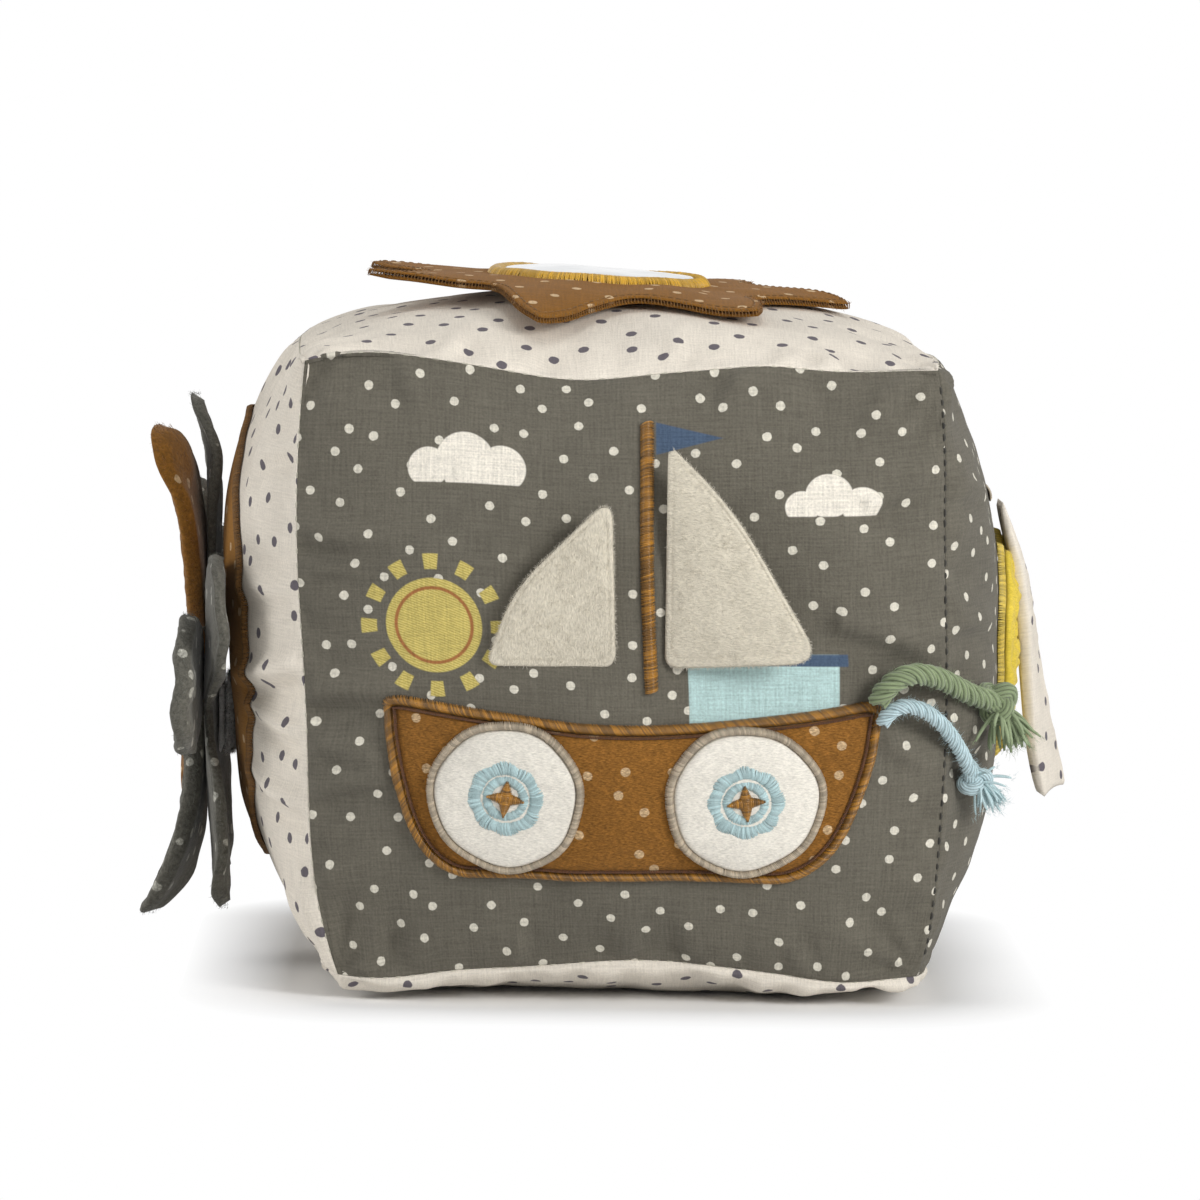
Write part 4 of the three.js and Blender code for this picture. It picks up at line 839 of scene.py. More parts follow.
def front_prints(finish, place, ground):
    """A low sun, two clouds, a small cabin and a pennant, printed flat on the front cloth, in millimetres."""
    cream, blue, navy = tone("#d6d0c4"), tone("#a6bfbd"), tone("#445469")
    yellow, hatch, spot = tone("#bdae68"), tone("#a6954a"), tone("#946139")
    sun_u, sun_v, sun_radius, sun_rays = -33.0, 8.5, 8.6, 12
    left_cloud = ((-27, 38.5, 5.2), (-33.5, 37, 3.6), (-20.5, 37.3, 4.3), (-26.5, 36, 4.2))
    right_cloud = ((36, 33.5, 4.0), (41.5, 31.5, 3.4), (31.5, 31.5, 2.9))
    soft = 0.16
    maths = finish.maths
    split = finish.node("ShaderNodeSeparateXYZ", {"Vector": place})
    u = maths("MULTIPLY", split.outputs["X"], 1000)
    v = maths("MULTIPLY", split.outputs["Y"], 1000)

    def inside(distance):
        return finish.soft_step(distance, soft, -soft)

    def from_point(point_u, point_v):
        du, dv = maths("SUBTRACT", u, point_u), maths("SUBTRACT", v, point_v)
        return maths("SQRT", maths("ADD", maths("MULTIPLY", du, du), maths("MULTIPLY", dv, dv)))

    def between(value, low, high):
        over = finish.soft_step(value, low - soft, low + soft)
        under = finish.soft_step(value, high + soft, high - soft)
        return maths("MULTIPLY", over, under)

    # the sun stands low behind the boat's left end: a hatched disc with a ring of short rays
    reach = from_point(sun_u, sun_v)
    disc = inside(maths("SUBTRACT", reach, sun_radius))
    turn = maths("ARCTAN2", maths("SUBTRACT", v, sun_v), maths("SUBTRACT", u, sun_u))
    beat = maths("COSINE", maths("MULTIPLY", turn, sun_rays))
    rays = maths("MULTIPLY", between(reach, 10.2, 13.0), finish.soft_step(beat, 0.15, 0.45))
    lines = maths("SINE", maths("MULTIPLY", maths("ADD", u, maths("MULTIPLY", v, 2.6)), 5.2))
    hatched = finish.blend(finish.soft_step(lines, 0.2, 0.7), yellow, hatch)
    hatched = finish.blend(between(reach, 6.5, 7.1), hatched, spot)
    sun = maths("MAXIMUM", disc, rays)

    # each cloud is a heap of balls with a flat underside
    cloud = 0.0
    for middle_u, middle_v, radius in left_cloud + right_cloud:
        ball = inside(maths("SUBTRACT", from_point(middle_u, middle_v), radius))
        cloud = maths("MAXIMUM", cloud, ball)
    low_right = maths("MULTIPLY", finish.soft_step(u, 5.0, 6.0), finish.soft_step(v, 29.6, 29.9))
    cloud = maths("MULTIPLY", cloud, maths("MAXIMUM", finish.soft_step(v, 34.2, 34.5), low_right))

    # the cabin stands on the deck, with a dark band under its roof
    cabin = maths("MULTIPLY", between(u, 11.5, 37.5), between(v, -9.0, 4.6))
    band = maths("MULTIPLY", between(u, 10.0, 39.0), between(v, 2.4, 4.6))

    # the pennant flies from the masthead
    flag_u = maths("SUBTRACT", u, 6.4)
    flag_v = maths("ABSOLUTE", maths("SUBTRACT", v, 44.0))
    slope = maths("SUBTRACT", maths("ADD", flag_v, maths("MULTIPLY", flag_u, 0.26)), 3.0)
    flag = maths("MULTIPLY", inside(slope), finish.soft_step(flag_u, 0.0, 0.3))

    tint, print_free = ground, 1.0
    for shape, ink in ((sun, hatched), (cloud, cream), (cabin, blue), (band, navy), (flag, navy)):
        tint = finish.blend(shape, tint, ink)
        print_free = maths("MULTIPLY", print_free, maths("SUBTRACT", 1.0, shape))
    return tint, print_free


def plastic(name, ground, roughness):
    finish = Finish(name, roughness=roughness, specular=0.5)
    haze = finish.noise(finish.objects(), 160, 3, 0.6)
    finish.paint(finish.blend(haze, scaled(ground, 0.94), ground))
    finish.bump(finish.noise(finish.objects(), 900, 2), 0.00003, 0.4)


def foil(name):
    """Soft mirror foil: bright, slightly wavy and finely brushed by wear."""
    finish = Finish(name, roughness=0.09)
    finish.shader.inputs["Metallic"].default_value = 1.0
    wear = finish.noise(finish.objects(), 420, 3, 0.6)
    finish.paint(finish.blend(wear, tone("#c9ccce"), tone("#e3e5e6")))
    finish.bump(finish.noise(finish.objects(), 70, 2), 0.0004, 0.35)


def fluff(name, ground):
    finish = Finish(name, roughness=1.0, sheen=0.3)
    tufts = finish.noise(finish.objects(), 420, 4, 0.7)
    finish.paint(finish.blend(tufts, scaled(ground, 0.85), ground))
    finish.bump(tufts, 0.0012, 0.9)


def make_materials():
    kept = settings()
    pale_dot, dark_dot, sand_dot = tone("#cbc6b8"), tone("#4a4450"), tone("#cdb28c")
    coarse = 0.00040
    cotton(
        "front cotton", kept.grey, pale_dot, (0.002, 0.001, 0), prints=front_prints, pitch=coarse,
        contrast=2.1,
    )
    cotton("grey cotton", kept.grey, pale_dot, (0.011, 0.023, 0), pitch=coarse, contrast=2.1)
    cotton("cream cotton", kept.cream, dark_dot, (0.031, 0.007, 0), larger=1.2, contrast=1.15)
    cotton("flap cotton", scaled(kept.cream, 0.97), dark_dot, (0.003, 0.019, 0), larger=1.1)
    cotton("brown cotton", tone("#7d5318"), sand_dot, (0.013, 0.017, 0), 0.8, pitch=coarse, contrast=1.9)
    cotton("patch cotton", tone("#94672b"), sand_dot, (0.003, 0.007, 0), 0.8)
    velour("brown velour", kept.brown, sand_dot, 0.0017, 0.0074, contrast=2.5)
    for name, ground, dot, contrast in (
        ("petal brown velour", tone("#855a22"), sand_dot, 1.7),
        ("petal grey velour", tone("#615f57"), tone("#bdbbb0"), 1.9),
    ):
        velour(name, ground, dot, 0.0021, 0.0047, pile=0.00042, contrast=contrast, solid=True)
    velour("white velour", kept.white, pile=0.00034, sheen=0.35)
    velour("terry", tone("#d4ccba"), pile=0.00036, sheen=0.3, depth=0.8)
    velour("yellow velour", kept.yellow, sheen=0.4)
    velour("tape", tone("#e9e6e2"), pile=0.0005, sheen=0.4, depth=1.0)
    # darkest and lightest (painted glint) stitch, as shares of the thread's colour, and its roughness
    for name, ground, dark, light, roughness in (
        ("gold thread", kept.gold, 0.55, 1.8, 0.34),
        ("beige thread", tone("#ab9d88"), 0.72, 1.3, 0.36),
        ("blue thread", tone("#a9c2c4"), 0.78, 1.2, 0.36),
        ("lemon thread", tone("#c4ab42"), 0.72, 1.3, 0.36),
        ("mustard thread", kept.mustard, 0.72, 1.25, 0.36),
        ("flower edge thread", tone("#74501f"), 0.72, 1.2, 0.8),
        ("pale thread", tone("#b9b4a4"), 0.8, 1.15, 0.7),
        ("dark thread", tone("#35332d"), 0.7, 1.3, 0.8),
        ("brown thread", tone("#5a3517"), 0.7, 1.25, 0.7),
        ("terry fibre", tone("#dcd5c5"), 0.9, 1.06, 0.9),
        ("grey fibre", tone("#6d6f66"), 0.8, 1.2, 0.9),
        ("brown fibre", tone("#93612b"), 0.8, 1.2, 0.9),
        ("tape fibre", tone("#efedea"), 0.92, 1.04, 0.8),
        ("green fibre", tone("#8f9d7a"), 0.8, 1.2, 0.9),
        ("blue fibre", tone("#bcd3d6"), 0.85, 1.08, 0.9),
    ):
        thread(name, ground, dark, light, roughness)
    cord_cotton("green cord", kept.green_cord)
    cord_cotton("blue cord", kept.blue_cord)
    foil("mirror foil")
    plastic("capsule plastic", tone("#e6e6e2"), 0.35)
    plastic("bead plastic", tone("#c94f3d"), 0.25)
    fluff("filling fluff", tone("#f0eee8"))


# Cords

def smooth_route(points, steps):
    """A centripetal Catmull-Rom curve through points, as the part's own source draws it."""
    points = np.array(points, float)
    padded_points = np.vstack([2 * points[0] - points[1], points, 2 * points[-1] - points[-2]])
    made = []
    for k in range(len(points) - 1):
        a, b, c, d = padded_points[k:k + 4]
        gaps = [max(np.linalg.norm(q - p) ** 0.5, 1e-6) for p, q in ((a, b), (b, c), (c, d))]
        first = ((b - a) / gaps[0] - (c - a) / (gaps[0] + gaps[1]) + (c - b) / gaps[1]) * gaps[1]
        last = ((c - b) / gaps[1] - (d - b) / (gaps[1] + gaps[2]) + (d - c) / gaps[2]) * gaps[1]
        for t in np.arange(steps) / steps:
            made.append(b + first * t + (3 * (c - b) - 2 * first - last) * t ** 2 + (
                2 * (b - c) + first + last) * t ** 3)
    made.append(points[-1])
    return np.array(made)


def evenly(points, count, closed=False):
    """count points at even distances along a line of points."""
    line = np.vstack([points, points[:1]]) if closed else points
    gone = np.concatenate([[0], np.cumsum(np.linalg.norm(np.diff(line, axis=0), axis=1))])
    at = np.linspace(0, gone[-1], count, endpoint=not closed)
    return np.stack([np.interp(at, gone, line[:, k]) for k in range(line.shape[1])], -1)


def frames_along(points):
    """Forward, side and upward directions at each point of a line, with no sudden turn."""
    ahead = unit(np.gradient(points, axis=0))
    side = np.cross(ahead[0], (0.3, 0.2, 1.0))
    sides = []
    for direction in ahead:
        side = unit(side - direction * np.dot(side, direction))
        sides.append(side)
    sides = np.array(sides)
    return ahead, sides, np.cross(ahead, sides)


def length_of(line):
    return np.linalg.norm(np.diff(line, axis=0), axis=1).sum()


def tube_places(line, row, turn, radius, side, up):
    """Places round the points of a line, each at a turn and a radius of its own."""
    outward = np.cos(turn)[:, None] * side[row] + np.sin(turn)[:, None] * up[row]
    return line[row] + radius[:, None] * outward


def ply_mesh(line, diameter, lay, phase, thickness):
    """One ply of a twisted cord: a tube that winds round the cord's line, with the marks of its yarns."""
    count = len(line)
    length = length_of(line)
    mesh, turn, share = tube_mesh(40, count - 1)
    row = np.rint(share * (count - 1)).astype(int)
    _, side, up = frames_along(line)
    wind = phase + 2 * np.pi * np.linspace(0, length, count) / lay
    offset = diameter / 2 - thickness
    centre = line + offset * (np.cos(wind)[:, None] * side + np.sin(wind)[:, None] * up)
    _, own_side, own_up = frames_along(centre)
    yarn = np.abs(np.cos(PLY_GROOVES / 2 * turn - share * length * np.pi / (lay * 0.34)))
    radius = thickness * (0.80 + 0.26 * yarn)
    set_cloth_map(mesh, np.stack([turn * thickness, share * length], -1))
    set_attribute(mesh, "yarn", yarn)
    set_places(mesh, tube_places(centre, row, turn, radius, own_side, own_up) * MM)
    return mend_mesh(mesh, close=True)


def join_meshes(name, meshes):
    work = bmesh.new()
    for mesh in meshes:
        work.from_mesh(mesh)
        bpy.data.meshes.remove(mesh)
    return mesh_from(work, name)


def knot_mesh(middle, heading, radius, strand, lay):
    """An overhand knot pulled tight: a trefoil loop of cord with the marks of its three plies."""
    turn = np.linspace(0, 2 * np.pi, 150, endpoint=False)
    size = (radius - strand) / 3
    local = np.stack([
        np.sin(turn) + 2 * np.sin(2 * turn), np.cos(turn) - 2 * np.cos(2 * turn), -1.25 * np.sin(3 * turn)
    ], -1) * size
    normal = unit(np.array((0.35, -0.9, 0.25)))
    across = unit(heading - np.dot(heading, normal) * normal)
    third = np.cross(normal, across)
    line = evenly(middle + local[:, :1] * across + local[:, 1:2] * third + local[:, 2:] * normal, 200, True)
    line = np.vstack([line, line[:1]])
    mesh, around, share = tube_mesh(60, len(line) - 1)
    row = np.rint(share * (len(line) - 1)).astype(int)
    _, side, up = frames_along(line)
    length = length_of(line)
    wind = around - share * length * 2 * np.pi / lay
    yarn = np.abs(np.cos(KNOT_GROOVES / 2 * around - share * length * 2.2 / strand))
    thick = strand * (0.80 + 0.13 * np.abs(np.cos(1.5 * wind)) + 0.13 * yarn)
    set_cloth_map(mesh, np.stack([around * strand, share * length], -1))
    set_attribute(mesh, "yarn", yarn)
    set_places(mesh, tube_places(line, row, around, thick, side, up) * MM)
    return mend_mesh(mesh, close=True)


def make_cord(name, route, diameter, hang, seed):
    """A three-ply cotton cord, its overhand knot and the frayed tassel beyond it."""
    chance = np.random.default_rng(seed)
    material, loose = MATERIALS[name.replace("_", " ")], MATERIALS[name.split("_")[0] + " fibre"]
    centre = smooth_route(route, 16)
    radius = 0.8 * diameter
    middle = centre[-1] + unit(centre[-1] - centre[-2]) * (radius * 0.9 + CLEAR)
    line = evenly(np.vstack([centre, middle]), 180)
    lay = 1.9 * diameter
    plies = [ply_mesh(line, diameter, lay, k * 2 * np.pi / 3, diameter * 0.262) for k in range(3)]
    cord = new_piece(f"{name}_plies", join_meshes(name, plies), material)
    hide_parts(name)

    ahead, side, up = frames_along(line)
    knot_shape = knot_mesh(middle, ahead[-1], radius + 1.3, diameter * 0.40, lay)
    knot = new_piece(f"{name}_overhand", knot_shape, material)
    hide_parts(f"{name}_knot")

    hang = unit(np.array(hang))
    strands = TASSEL_STRANDS
    aims = unit(hang + chance.normal(0, 0.40, (strands, 3)))
    starts = middle + hang * radius * 0.45 + chance.normal(0, diameter * 0.16, (strands, 3))
    ends = starts + aims * chance.uniform(1.55, 2.15, (strands, 1)) * diameter
    sag = np.tile((0.0, 0.0, 0.15), (strands, 1)) * diameter + chance.normal(0, 0.05, (strands, 3)) * diameter
    thickness = chance.uniform(0.075, 0.105, strands) * diameter
    tassel = threads(f"{name}_frayed_end", starts, ends, sag, thickness, loose, seed, rings=9, sides=7)
    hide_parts(f"{name}_tassel")

    # fibres stand off the plies, off the tips of the tassel and off the knot
    picks = chance.integers(4, len(line) - 1, CORD_FIBRES)
    turn = chance.uniform(0, 2 * np.pi, CORD_FIBRES)[:, None]
    outward = np.cos(turn) * side[picks] + np.sin(turn) * up[picks]
    along = outward + ahead[picks] * chance.normal(0, 1.1, (CORD_FIBRES, 1))
    tips = np.repeat(ends, TIP_FIBRES, axis=0) + chance.normal(0, 0.3, (strands * TIP_FIBRES, 3))
    ball = unit(chance.normal(0, 1, (KNOT_FIBRES, 3)))
    beyond = np.repeat(ends - starts, TIP_FIBRES, axis=0) / 8
    beyond = beyond + chance.normal(0, 0.35, (strands * TIP_FIBRES, 3))
    roots = np.vstack([line[picks] + outward * diameter * 0.44, tips, middle + ball * radius])
    fuzz = fibres(f"{name}_fibres", roots, np.vstack([along, beyond, ball]), 1.1, 0.035, loose, seed + 1)
    [tuple(p * MM) for p in evenly(line, 40)]


# The cover and what it holds

def stations(cells):
    """Places across a panel from -1 to 1, closer together where its edges turn into the seams."""
    near = BODY_HALF - SEAM_ROLL * np.array([0.0, 0.06, 0.2, 0.42, 0.7, 1.0, 1.5, 2.2])
    inner = np.linspace(-near[-1], near[-1], cells + 1)
    return np.concatenate([-near[:-1], inner, near[:-1][::-1]]) / BODY_HALF


def make_panel(face):
    """One cotton panel, stretched over the filling and turned into its seams all round."""
    places = stations(settings().panel_cells)
    last = len(places) - 1
    mesh, column, row = grid_mesh(last, last)
    tall = half_height(face)
    share = 1 - SEAM_GAP / BODY_HALF
    u, v = places[column] * share * BODY_HALF, places[row] * share * tall
    points = over_face(face, u, v)
    # the last strip of cloth turns down into the seam
    out, right, up = (np.array(axis, float) for axis in AXES[face])
    near_u = np.clip(1 - (BODY_HALF - np.abs(u)) / SEAM_ROLL, 0, 1)
    near_v = np.clip(1 - (tall - np.abs(v)) / SEAM_ROLL, 0, 1)
    depth = 0.6 * SEAM_ROLL * (1 - np.sqrt(1 - np.maximum(near_u, near_v) ** 2))
    inward = -unit(out + (near_u * np.sign(u))[:, None] * right + (near_v * np.sign(v))[:, None] * up)
    points = points + inward * depth[:, None]
    points[:, 2] = np.maximum(points[:, 2], 0.02)
    set_cloth_map(mesh, np.stack([u + np.sign(u) * near_u * depth, v + np.sign(v) * near_v * depth], -1))
    set_places(mesh, points * MM)
    panel = new_piece(f"{face}_cloth", mesh, MATERIALS[PANEL_CLOTHS[face]])
    thickness = panel.modifiers.new("cloth thickness", "SOLIDIFY")
    thickness.thickness = PANEL_THICK * MM
    thickness.offset = -1
    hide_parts(f"{face}_panel")


def seam_lines():
    """The twelve seams, each as a face and the fixed place across or up it."""
    half, tall = BODY_HALF, BODY_HALF_HEIGHT
    return (
        ("front", (-half, None)), ("front", (half, None)), ("front", (None, tall)), ("front", (None, -tall)),
        ("back", (-half, None)), ("back", (half, None)), ("back", (None, tall)), ("back", (None, -tall)),
        ("left", (None, tall)), ("left", (None, -tall)), ("right", (None, tall)), ("right", (None, -tall)),
    )


def make_seam_stitches():
    """Pale thread where the seams pull open a little, and dark stitches on the right panel's upright seams.
    """
    chance = np.random.default_rng(5)
    rows = {kind: ([], [], []) for kind in SEAM_STITCHES}
    for face, (fixed_u, fixed_v) in seam_lines():
        # the right panel's two upright seams get a dashed row of dark stitches
        dark = fixed_u is not None and (face, fixed_u > 0) in (("front", True), ("back", False))
        kind = "dark" if dark else "pale"
        starts, ends, arches = rows[kind]
        pitch, length, slack, sunk, _ = SEAM_STITCHES[kind]
        for along in np.arange(-SEAM_STITCH_END, SEAM_STITCH_END, pitch):
            start = along + chance.normal(0, 0.12)
            stop = start + length + chance.normal(0, 0.12)
            pair = []
            for end in (start, stop):
                u, v = (fixed_u, end) if fixed_u is not None else (end, fixed_v)
                pair.append(over_face(face, np.array([u * slack]), np.array([v * slack]), sunk)[0])
            outward = unit((pair[0] - (0, 0, CENTRE_Z)) * (1, 1, 0.6))
            starts.append(pair[0] - outward * 0.10)
            ends.append(pair[1] - outward * 0.10)
            arches.append(outward * 0.22)
    for kind, row in rows.items():
        starts, ends, arches = (np.array(points) for points in row)
        radius, material = SEAM_STITCHES[kind][-1], MATERIALS[f"{kind} thread"]
        seam = threads(f"{kind}_seam_stitches", starts, ends, arches, radius, material, 6, rings=4)


def wad_shell(keep_above):
    """Half of a cube from -1 to 1, whose cut side is drawn in to a bowl for the rattle."""
    sign = 1 if keep_above else -1
    work = bmesh.new()
    bmesh.ops.create_cube(work, size=2)
    bmesh.ops.subdivide_edges(work, edges=work.edges, cuts=15, use_grid_fill=True)
    bmesh.ops.bisect_plane(
        work, geom=[*work.verts, *work.edges, *work.faces], plane_co=(0, 0, sign * WAD_GAP),
        plane_no=(0, 0, -sign), clear_outer=True,
    )

    def open_rim():
        return [edge for edge in work.edges if edge.is_boundary]

    def draw_in(place, height):
        """Extrudes the open rim once and puts each new vertex in its place."""
        made = bmesh.ops.extrude_edge_only(work, edges=open_rim())["geom"]
        for vert in [item for item in made if isinstance(item, bmesh.types.BMVert)]:
            flat = place(Vector((vert.co.x, vert.co.y, 0)))
            vert.co = (flat.x, flat.y, sign * height)

    for reach in (0.8, 0.6):
        draw_in(lambda flat: flat * (reach / max(abs(flat.x), abs(flat.y))), WAD_GAP)
    for reach in (0.42, 0.30, 0.24):
        draw_in(lambda flat: flat.normalized() * reach, WAD_GAP)
    hollow = HOLLOW_RADIUS / BODY_HALF
    steps = 6
    for step in range(steps):
        angle = math.pi / 2 * (step + 0.5) / (steps + 0.2)
        draw_in(lambda flat: flat.normalized() * hollow * math.cos(angle), WAD_GAP + hollow * math.sin(angle))
    bmesh.ops.holes_fill(work, edges=open_rim(), sides=0)
    return mesh_from(work, "wad")


def stuffed_wad(name, keep_above):
    """Half of the stuffing: a lumpy body inside the cover, hollowed for the rattle."""
    mesh = wad_shell(keep_above)
    shell = places_of(mesh)
    outer = np.abs(shell).max(1) > 0.99
    made = shell * np.array((BODY_HALF, BODY_HALF, BODY_HALF_HEIGHT)) * WAD_SHARE + (0, 0, CENTRE_Z)
    for face, axes in AXES.items():
        out, right, up = (np.array(axis, float) for axis in axes)
        here = outer & (shell @ out > 0.99)
        u, v = shell[here] @ right * BODY_HALF, shell[here] @ up * half_height(face)
        lumps = 0.9 * soft_noise(u / 9 + 3, v / 9 + 5, 71) - 0.3
        made[here] = skin(face, u * WAD_SHARE, v * WAD_SHARE, WAD_INSET) + out * lumps[:, None]
    made[:, 2] = np.maximum(made[:, 2], WAD_FLOOR)
    set_places(mesh, made * MM)
    mend_mesh(mesh, 1e-6)
    wad = new_piece(f"{name}_fluff", mesh, MATERIALS["filling fluff"])
    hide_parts(name)


# Patches and stitching

def pillow_net(sides, top_rings, low_rings):
    """A closed pad's net: each vertex's side, its share from the middle, and whether it is underneath."""
    mesh, ring, side = disc_mesh(sides, top_rings + low_rings)
    share = np.where(ring <= top_rings, (ring / top_rings) ** 0.72, 1 - (ring - top_rings) / low_rings)
    return mesh, side, share, ring > top_rings


def pad(name, outline, middle, low, high, place, material, body="cube", *, rings, low_rings=3, ripple=0.0,
        seed=3):
    """A closed padded shape over a flat outline: low and high give its height from the share to its edge."""
    outline, middle = np.array(outline, float), np.array(middle, float)
    mesh, side, share, under = pillow_net(len(outline), rings, low_rings)
    flat = middle + (outline[side] - middle) * share[:, None]
    height = np.where(under, low(share), high(share))
    if ripple:
        wave = soft_noise(flat[:, 0] / 1.7, flat[:, 1] / 1.7, seed)
        wave = wave + 0.6 * soft_noise(flat[:, 0] / 5, flat[:, 1] / 5, seed + 1)
        height = height + np.where(under, 0, ripple * wave * (1 - share ** 8))
    set_cloth_map(mesh, flat)
    set_attribute(mesh, "rim", np.where(share > 0.9995, 1.0, 0.0))
    set_places(mesh, place(flat[:, 0], flat[:, 1], height) * MM)
    return new_piece(name, mend_mesh(mesh), material, body)


def on_face(face):
    return lambda u, v, lift: over_face(face, u, v, lift)


def rounded(share, edge, power):
    """1 over most of a pad, falling to edge at its rim, the more steeply the higher the power."""
    return edge + (1 - edge) * np.sqrt(np.clip(1 - share ** power, 0, 1))


def groove(share, at, width, depth):
    """Depth of the line that a row of stitches draws into a pad."""
    return depth * np.exp(-((share - at) / width) ** 2)


def crowned(low, thick, edge=0.25, power=6):
    """Height of a padded top that falls steeply to its edge."""
    return lambda share: low + thick * rounded(share, edge, power)


def level(height):
    return lambda share: np.full(np.shape(share), float(height))


def polar(middle, radius, angle):
    return middle[0] + radius * np.cos(angle), middle[1] + radius * np.sin(angle)


def ring_points(radius_at, middle, count, turn=0.0):
    """A closed outline round a middle, whose radius changes with the angle."""
    angle = np.linspace(0, 2 * np.pi, count, endpoint=False)
    return np.stack(polar(middle, radius_at(angle), angle + turn), -1)


def circle(radius, middle, count):
    return ring_points(lambda angle: np.full_like(angle, radius), middle, count)


def edge_directions(line, closed=True):
    """Along a flat line and square to it, outwards where the line runs anticlockwise."""
    ahead = unit(np.roll(line, -1, 0) - np.roll(line, 1, 0) if closed else np.gradient(line, axis=0))
    return ahead, np.stack([ahead[:, 1], -ahead[:, 0]], -1)


def petals(tip, valley, count, point):
    return lambda angle: valley + (tip - valley) * (1 - np.abs(np.sin(count * angle / 2)) ** point)


def satin(name, outline, width, low, height, place, material, seed, slant=0.25, radius=0.19, closed=True):
    """A row of short shiny stitches side by side along a line on a face."""
    outline = np.array(outline, float)
    length = length_of(np.vstack([outline, outline[:1]]) if closed else outline)
    count = int(length / (settings().stitch_pitch / MM))
    line = evenly(outline, count, closed)
    ahead, across = edge_directions(line, closed)
    chance = np.random.default_rng(seed)
    half = width / 2 * (1 + chance.normal(0, 0.022, (count, 1)))
    lean = ahead * (slant + chance.normal(0, 0.05, (count, 1)))
    inner, outer = line - (across + lean) * half, line + (across + lean) * half
    foot = low + 0.08 + chance.normal(0, 0.015, count)
    starts = place(inner[:, 0], inner[:, 1], foot)
    ends = place(outer[:, 0], outer[:, 1], foot)
    tops = place(line[:, 0], line[:, 1], low + height * (0.88 + chance.normal(0, 0.012, count)))
    return threads(name, starts, ends, tops - (starts + ends) / 2, radius, material, seed)


def edge_fibres(name, outline, low, high, place, material, count, length, seed, body="cube"):
    """Pile that stands out past the edge of a patch and a little over its top."""
    chance = np.random.default_rng(seed)
    line = evenly(np.array(outline, float), count, True)
    ahead, across = edge_directions(line)
    height = low + (high - low) * chance.uniform(0, 1, count)
    root = line - across * chance.uniform(0.0, 1.0, (count, 1)) * 0.6
    tip = root + across * chance.uniform(0.5, 1.3, (count, 1)) + ahead * chance.normal(0, 0.7, (count, 1))
    roots = place(root[:, 0], root[:, 1], height)
    tips = place(tip[:, 0], tip[:, 1], height + chance.uniform(-0.2, 0.9, count))
    return fibres(name, roots, tips - roots, length, 0.045, material, seed + 1, body)


def quadratic(share, *points):
    """Places at shares of the way along a curve through its first and last point, drawn to the middle one."""
    a, b, c = (np.array(point, float) for point in points)
    return a * (1 - share) ** 2 + 2 * b * (1 - share) * share + c * share ** 2


def cubic(share, *points):
    """Places at shares of the way along a curve, drawn to its two middle points."""
    a, b, c, d = (np.array(point, float) for point in points)
    first_half = a * (1 - share) ** 3 + 3 * b * (1 - share) ** 2 * share
    return first_half + 3 * c * (1 - share) * share ** 2 + d * share ** 3


def hull_outline():
    """Deck line, rounded ends and keel of the boat, as the part's own source draws them."""
    half = HULL_LENGTH / 2
    mu, mv = HULL_MIDDLE
    deck, keel = mv + HULL_DEPTH / 2 - HULL_RISE, mv - HULL_DEPTH / 2
    right_keel, left_keel = (mu + half * (HULL_KEEL_SHARE - 0.08), keel), (mu - half * HULL_KEEL_SHARE, keel)
    bow, stern = (mu + half, deck + HULL_RISE * 0.8), (mu - half, deck + HULL_RISE * 0.8)
    bow_top, stern_top = (mu + half - 3, deck + HULL_RISE * 0.95), (mu - half + 3, deck + HULL_RISE * 0.95)
    share = np.linspace(0, 1, 60, endpoint=False)[:, None]
    return evenly(np.vstack([
        quadratic(share, left_keel, ((left_keel[0] + right_keel[0]) / 2, keel), right_keel),
        cubic(share, right_keel, (mu + half * 0.86, keel), (mu + half * 0.96, keel + HULL_DEPTH * 0.5), bow),
        quadratic(share, bow, (mu + half, deck + HULL_RISE), bow_top),
        quadratic(share, bow_top, (mu, deck - HULL_RISE * 0.4), stern_top),
        quadratic(share, stern_top, (mu - half, deck + HULL_RISE), stern),
        cubic(share, stern, (mu - half * 0.98, keel + HULL_DEPTH * 0.5), (mu - half * 0.9, keel), left_keel),
    ]), 260, True)


def shrunk(outline, distance):
    """A closed outline drawn in by a distance."""
    return outline - distance * edge_directions(outline)[1]


def make_hull():
    line = hull_outline()
    place = on_face("front")
    hull = pad("hull", shrunk(line, 0.9), HULL_MIDDLE, level(0.1), crowned(0.2, 1.5), place,
               MATERIALS["brown velour"], rings=40, ripple=0.10)
    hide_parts("hull_patch")
    gold, brown = MATERIALS["gold thread"], MATERIALS["brown thread"]
    border = satin("hull_satin", line, BORDER_WIDTH - 0.1, 0.1, 1.55, place, gold, 11, slant=0.8)
    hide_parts("hull_border")
    # a darker row lies along the border's inner side
    ridge_line = shrunk(line, 1.24)
    ridge = satin("hull_satin_ridge", ridge_line, 0.45, 1.15, 0.5, place, brown, 12, slant=-0.5, radius=0.15)


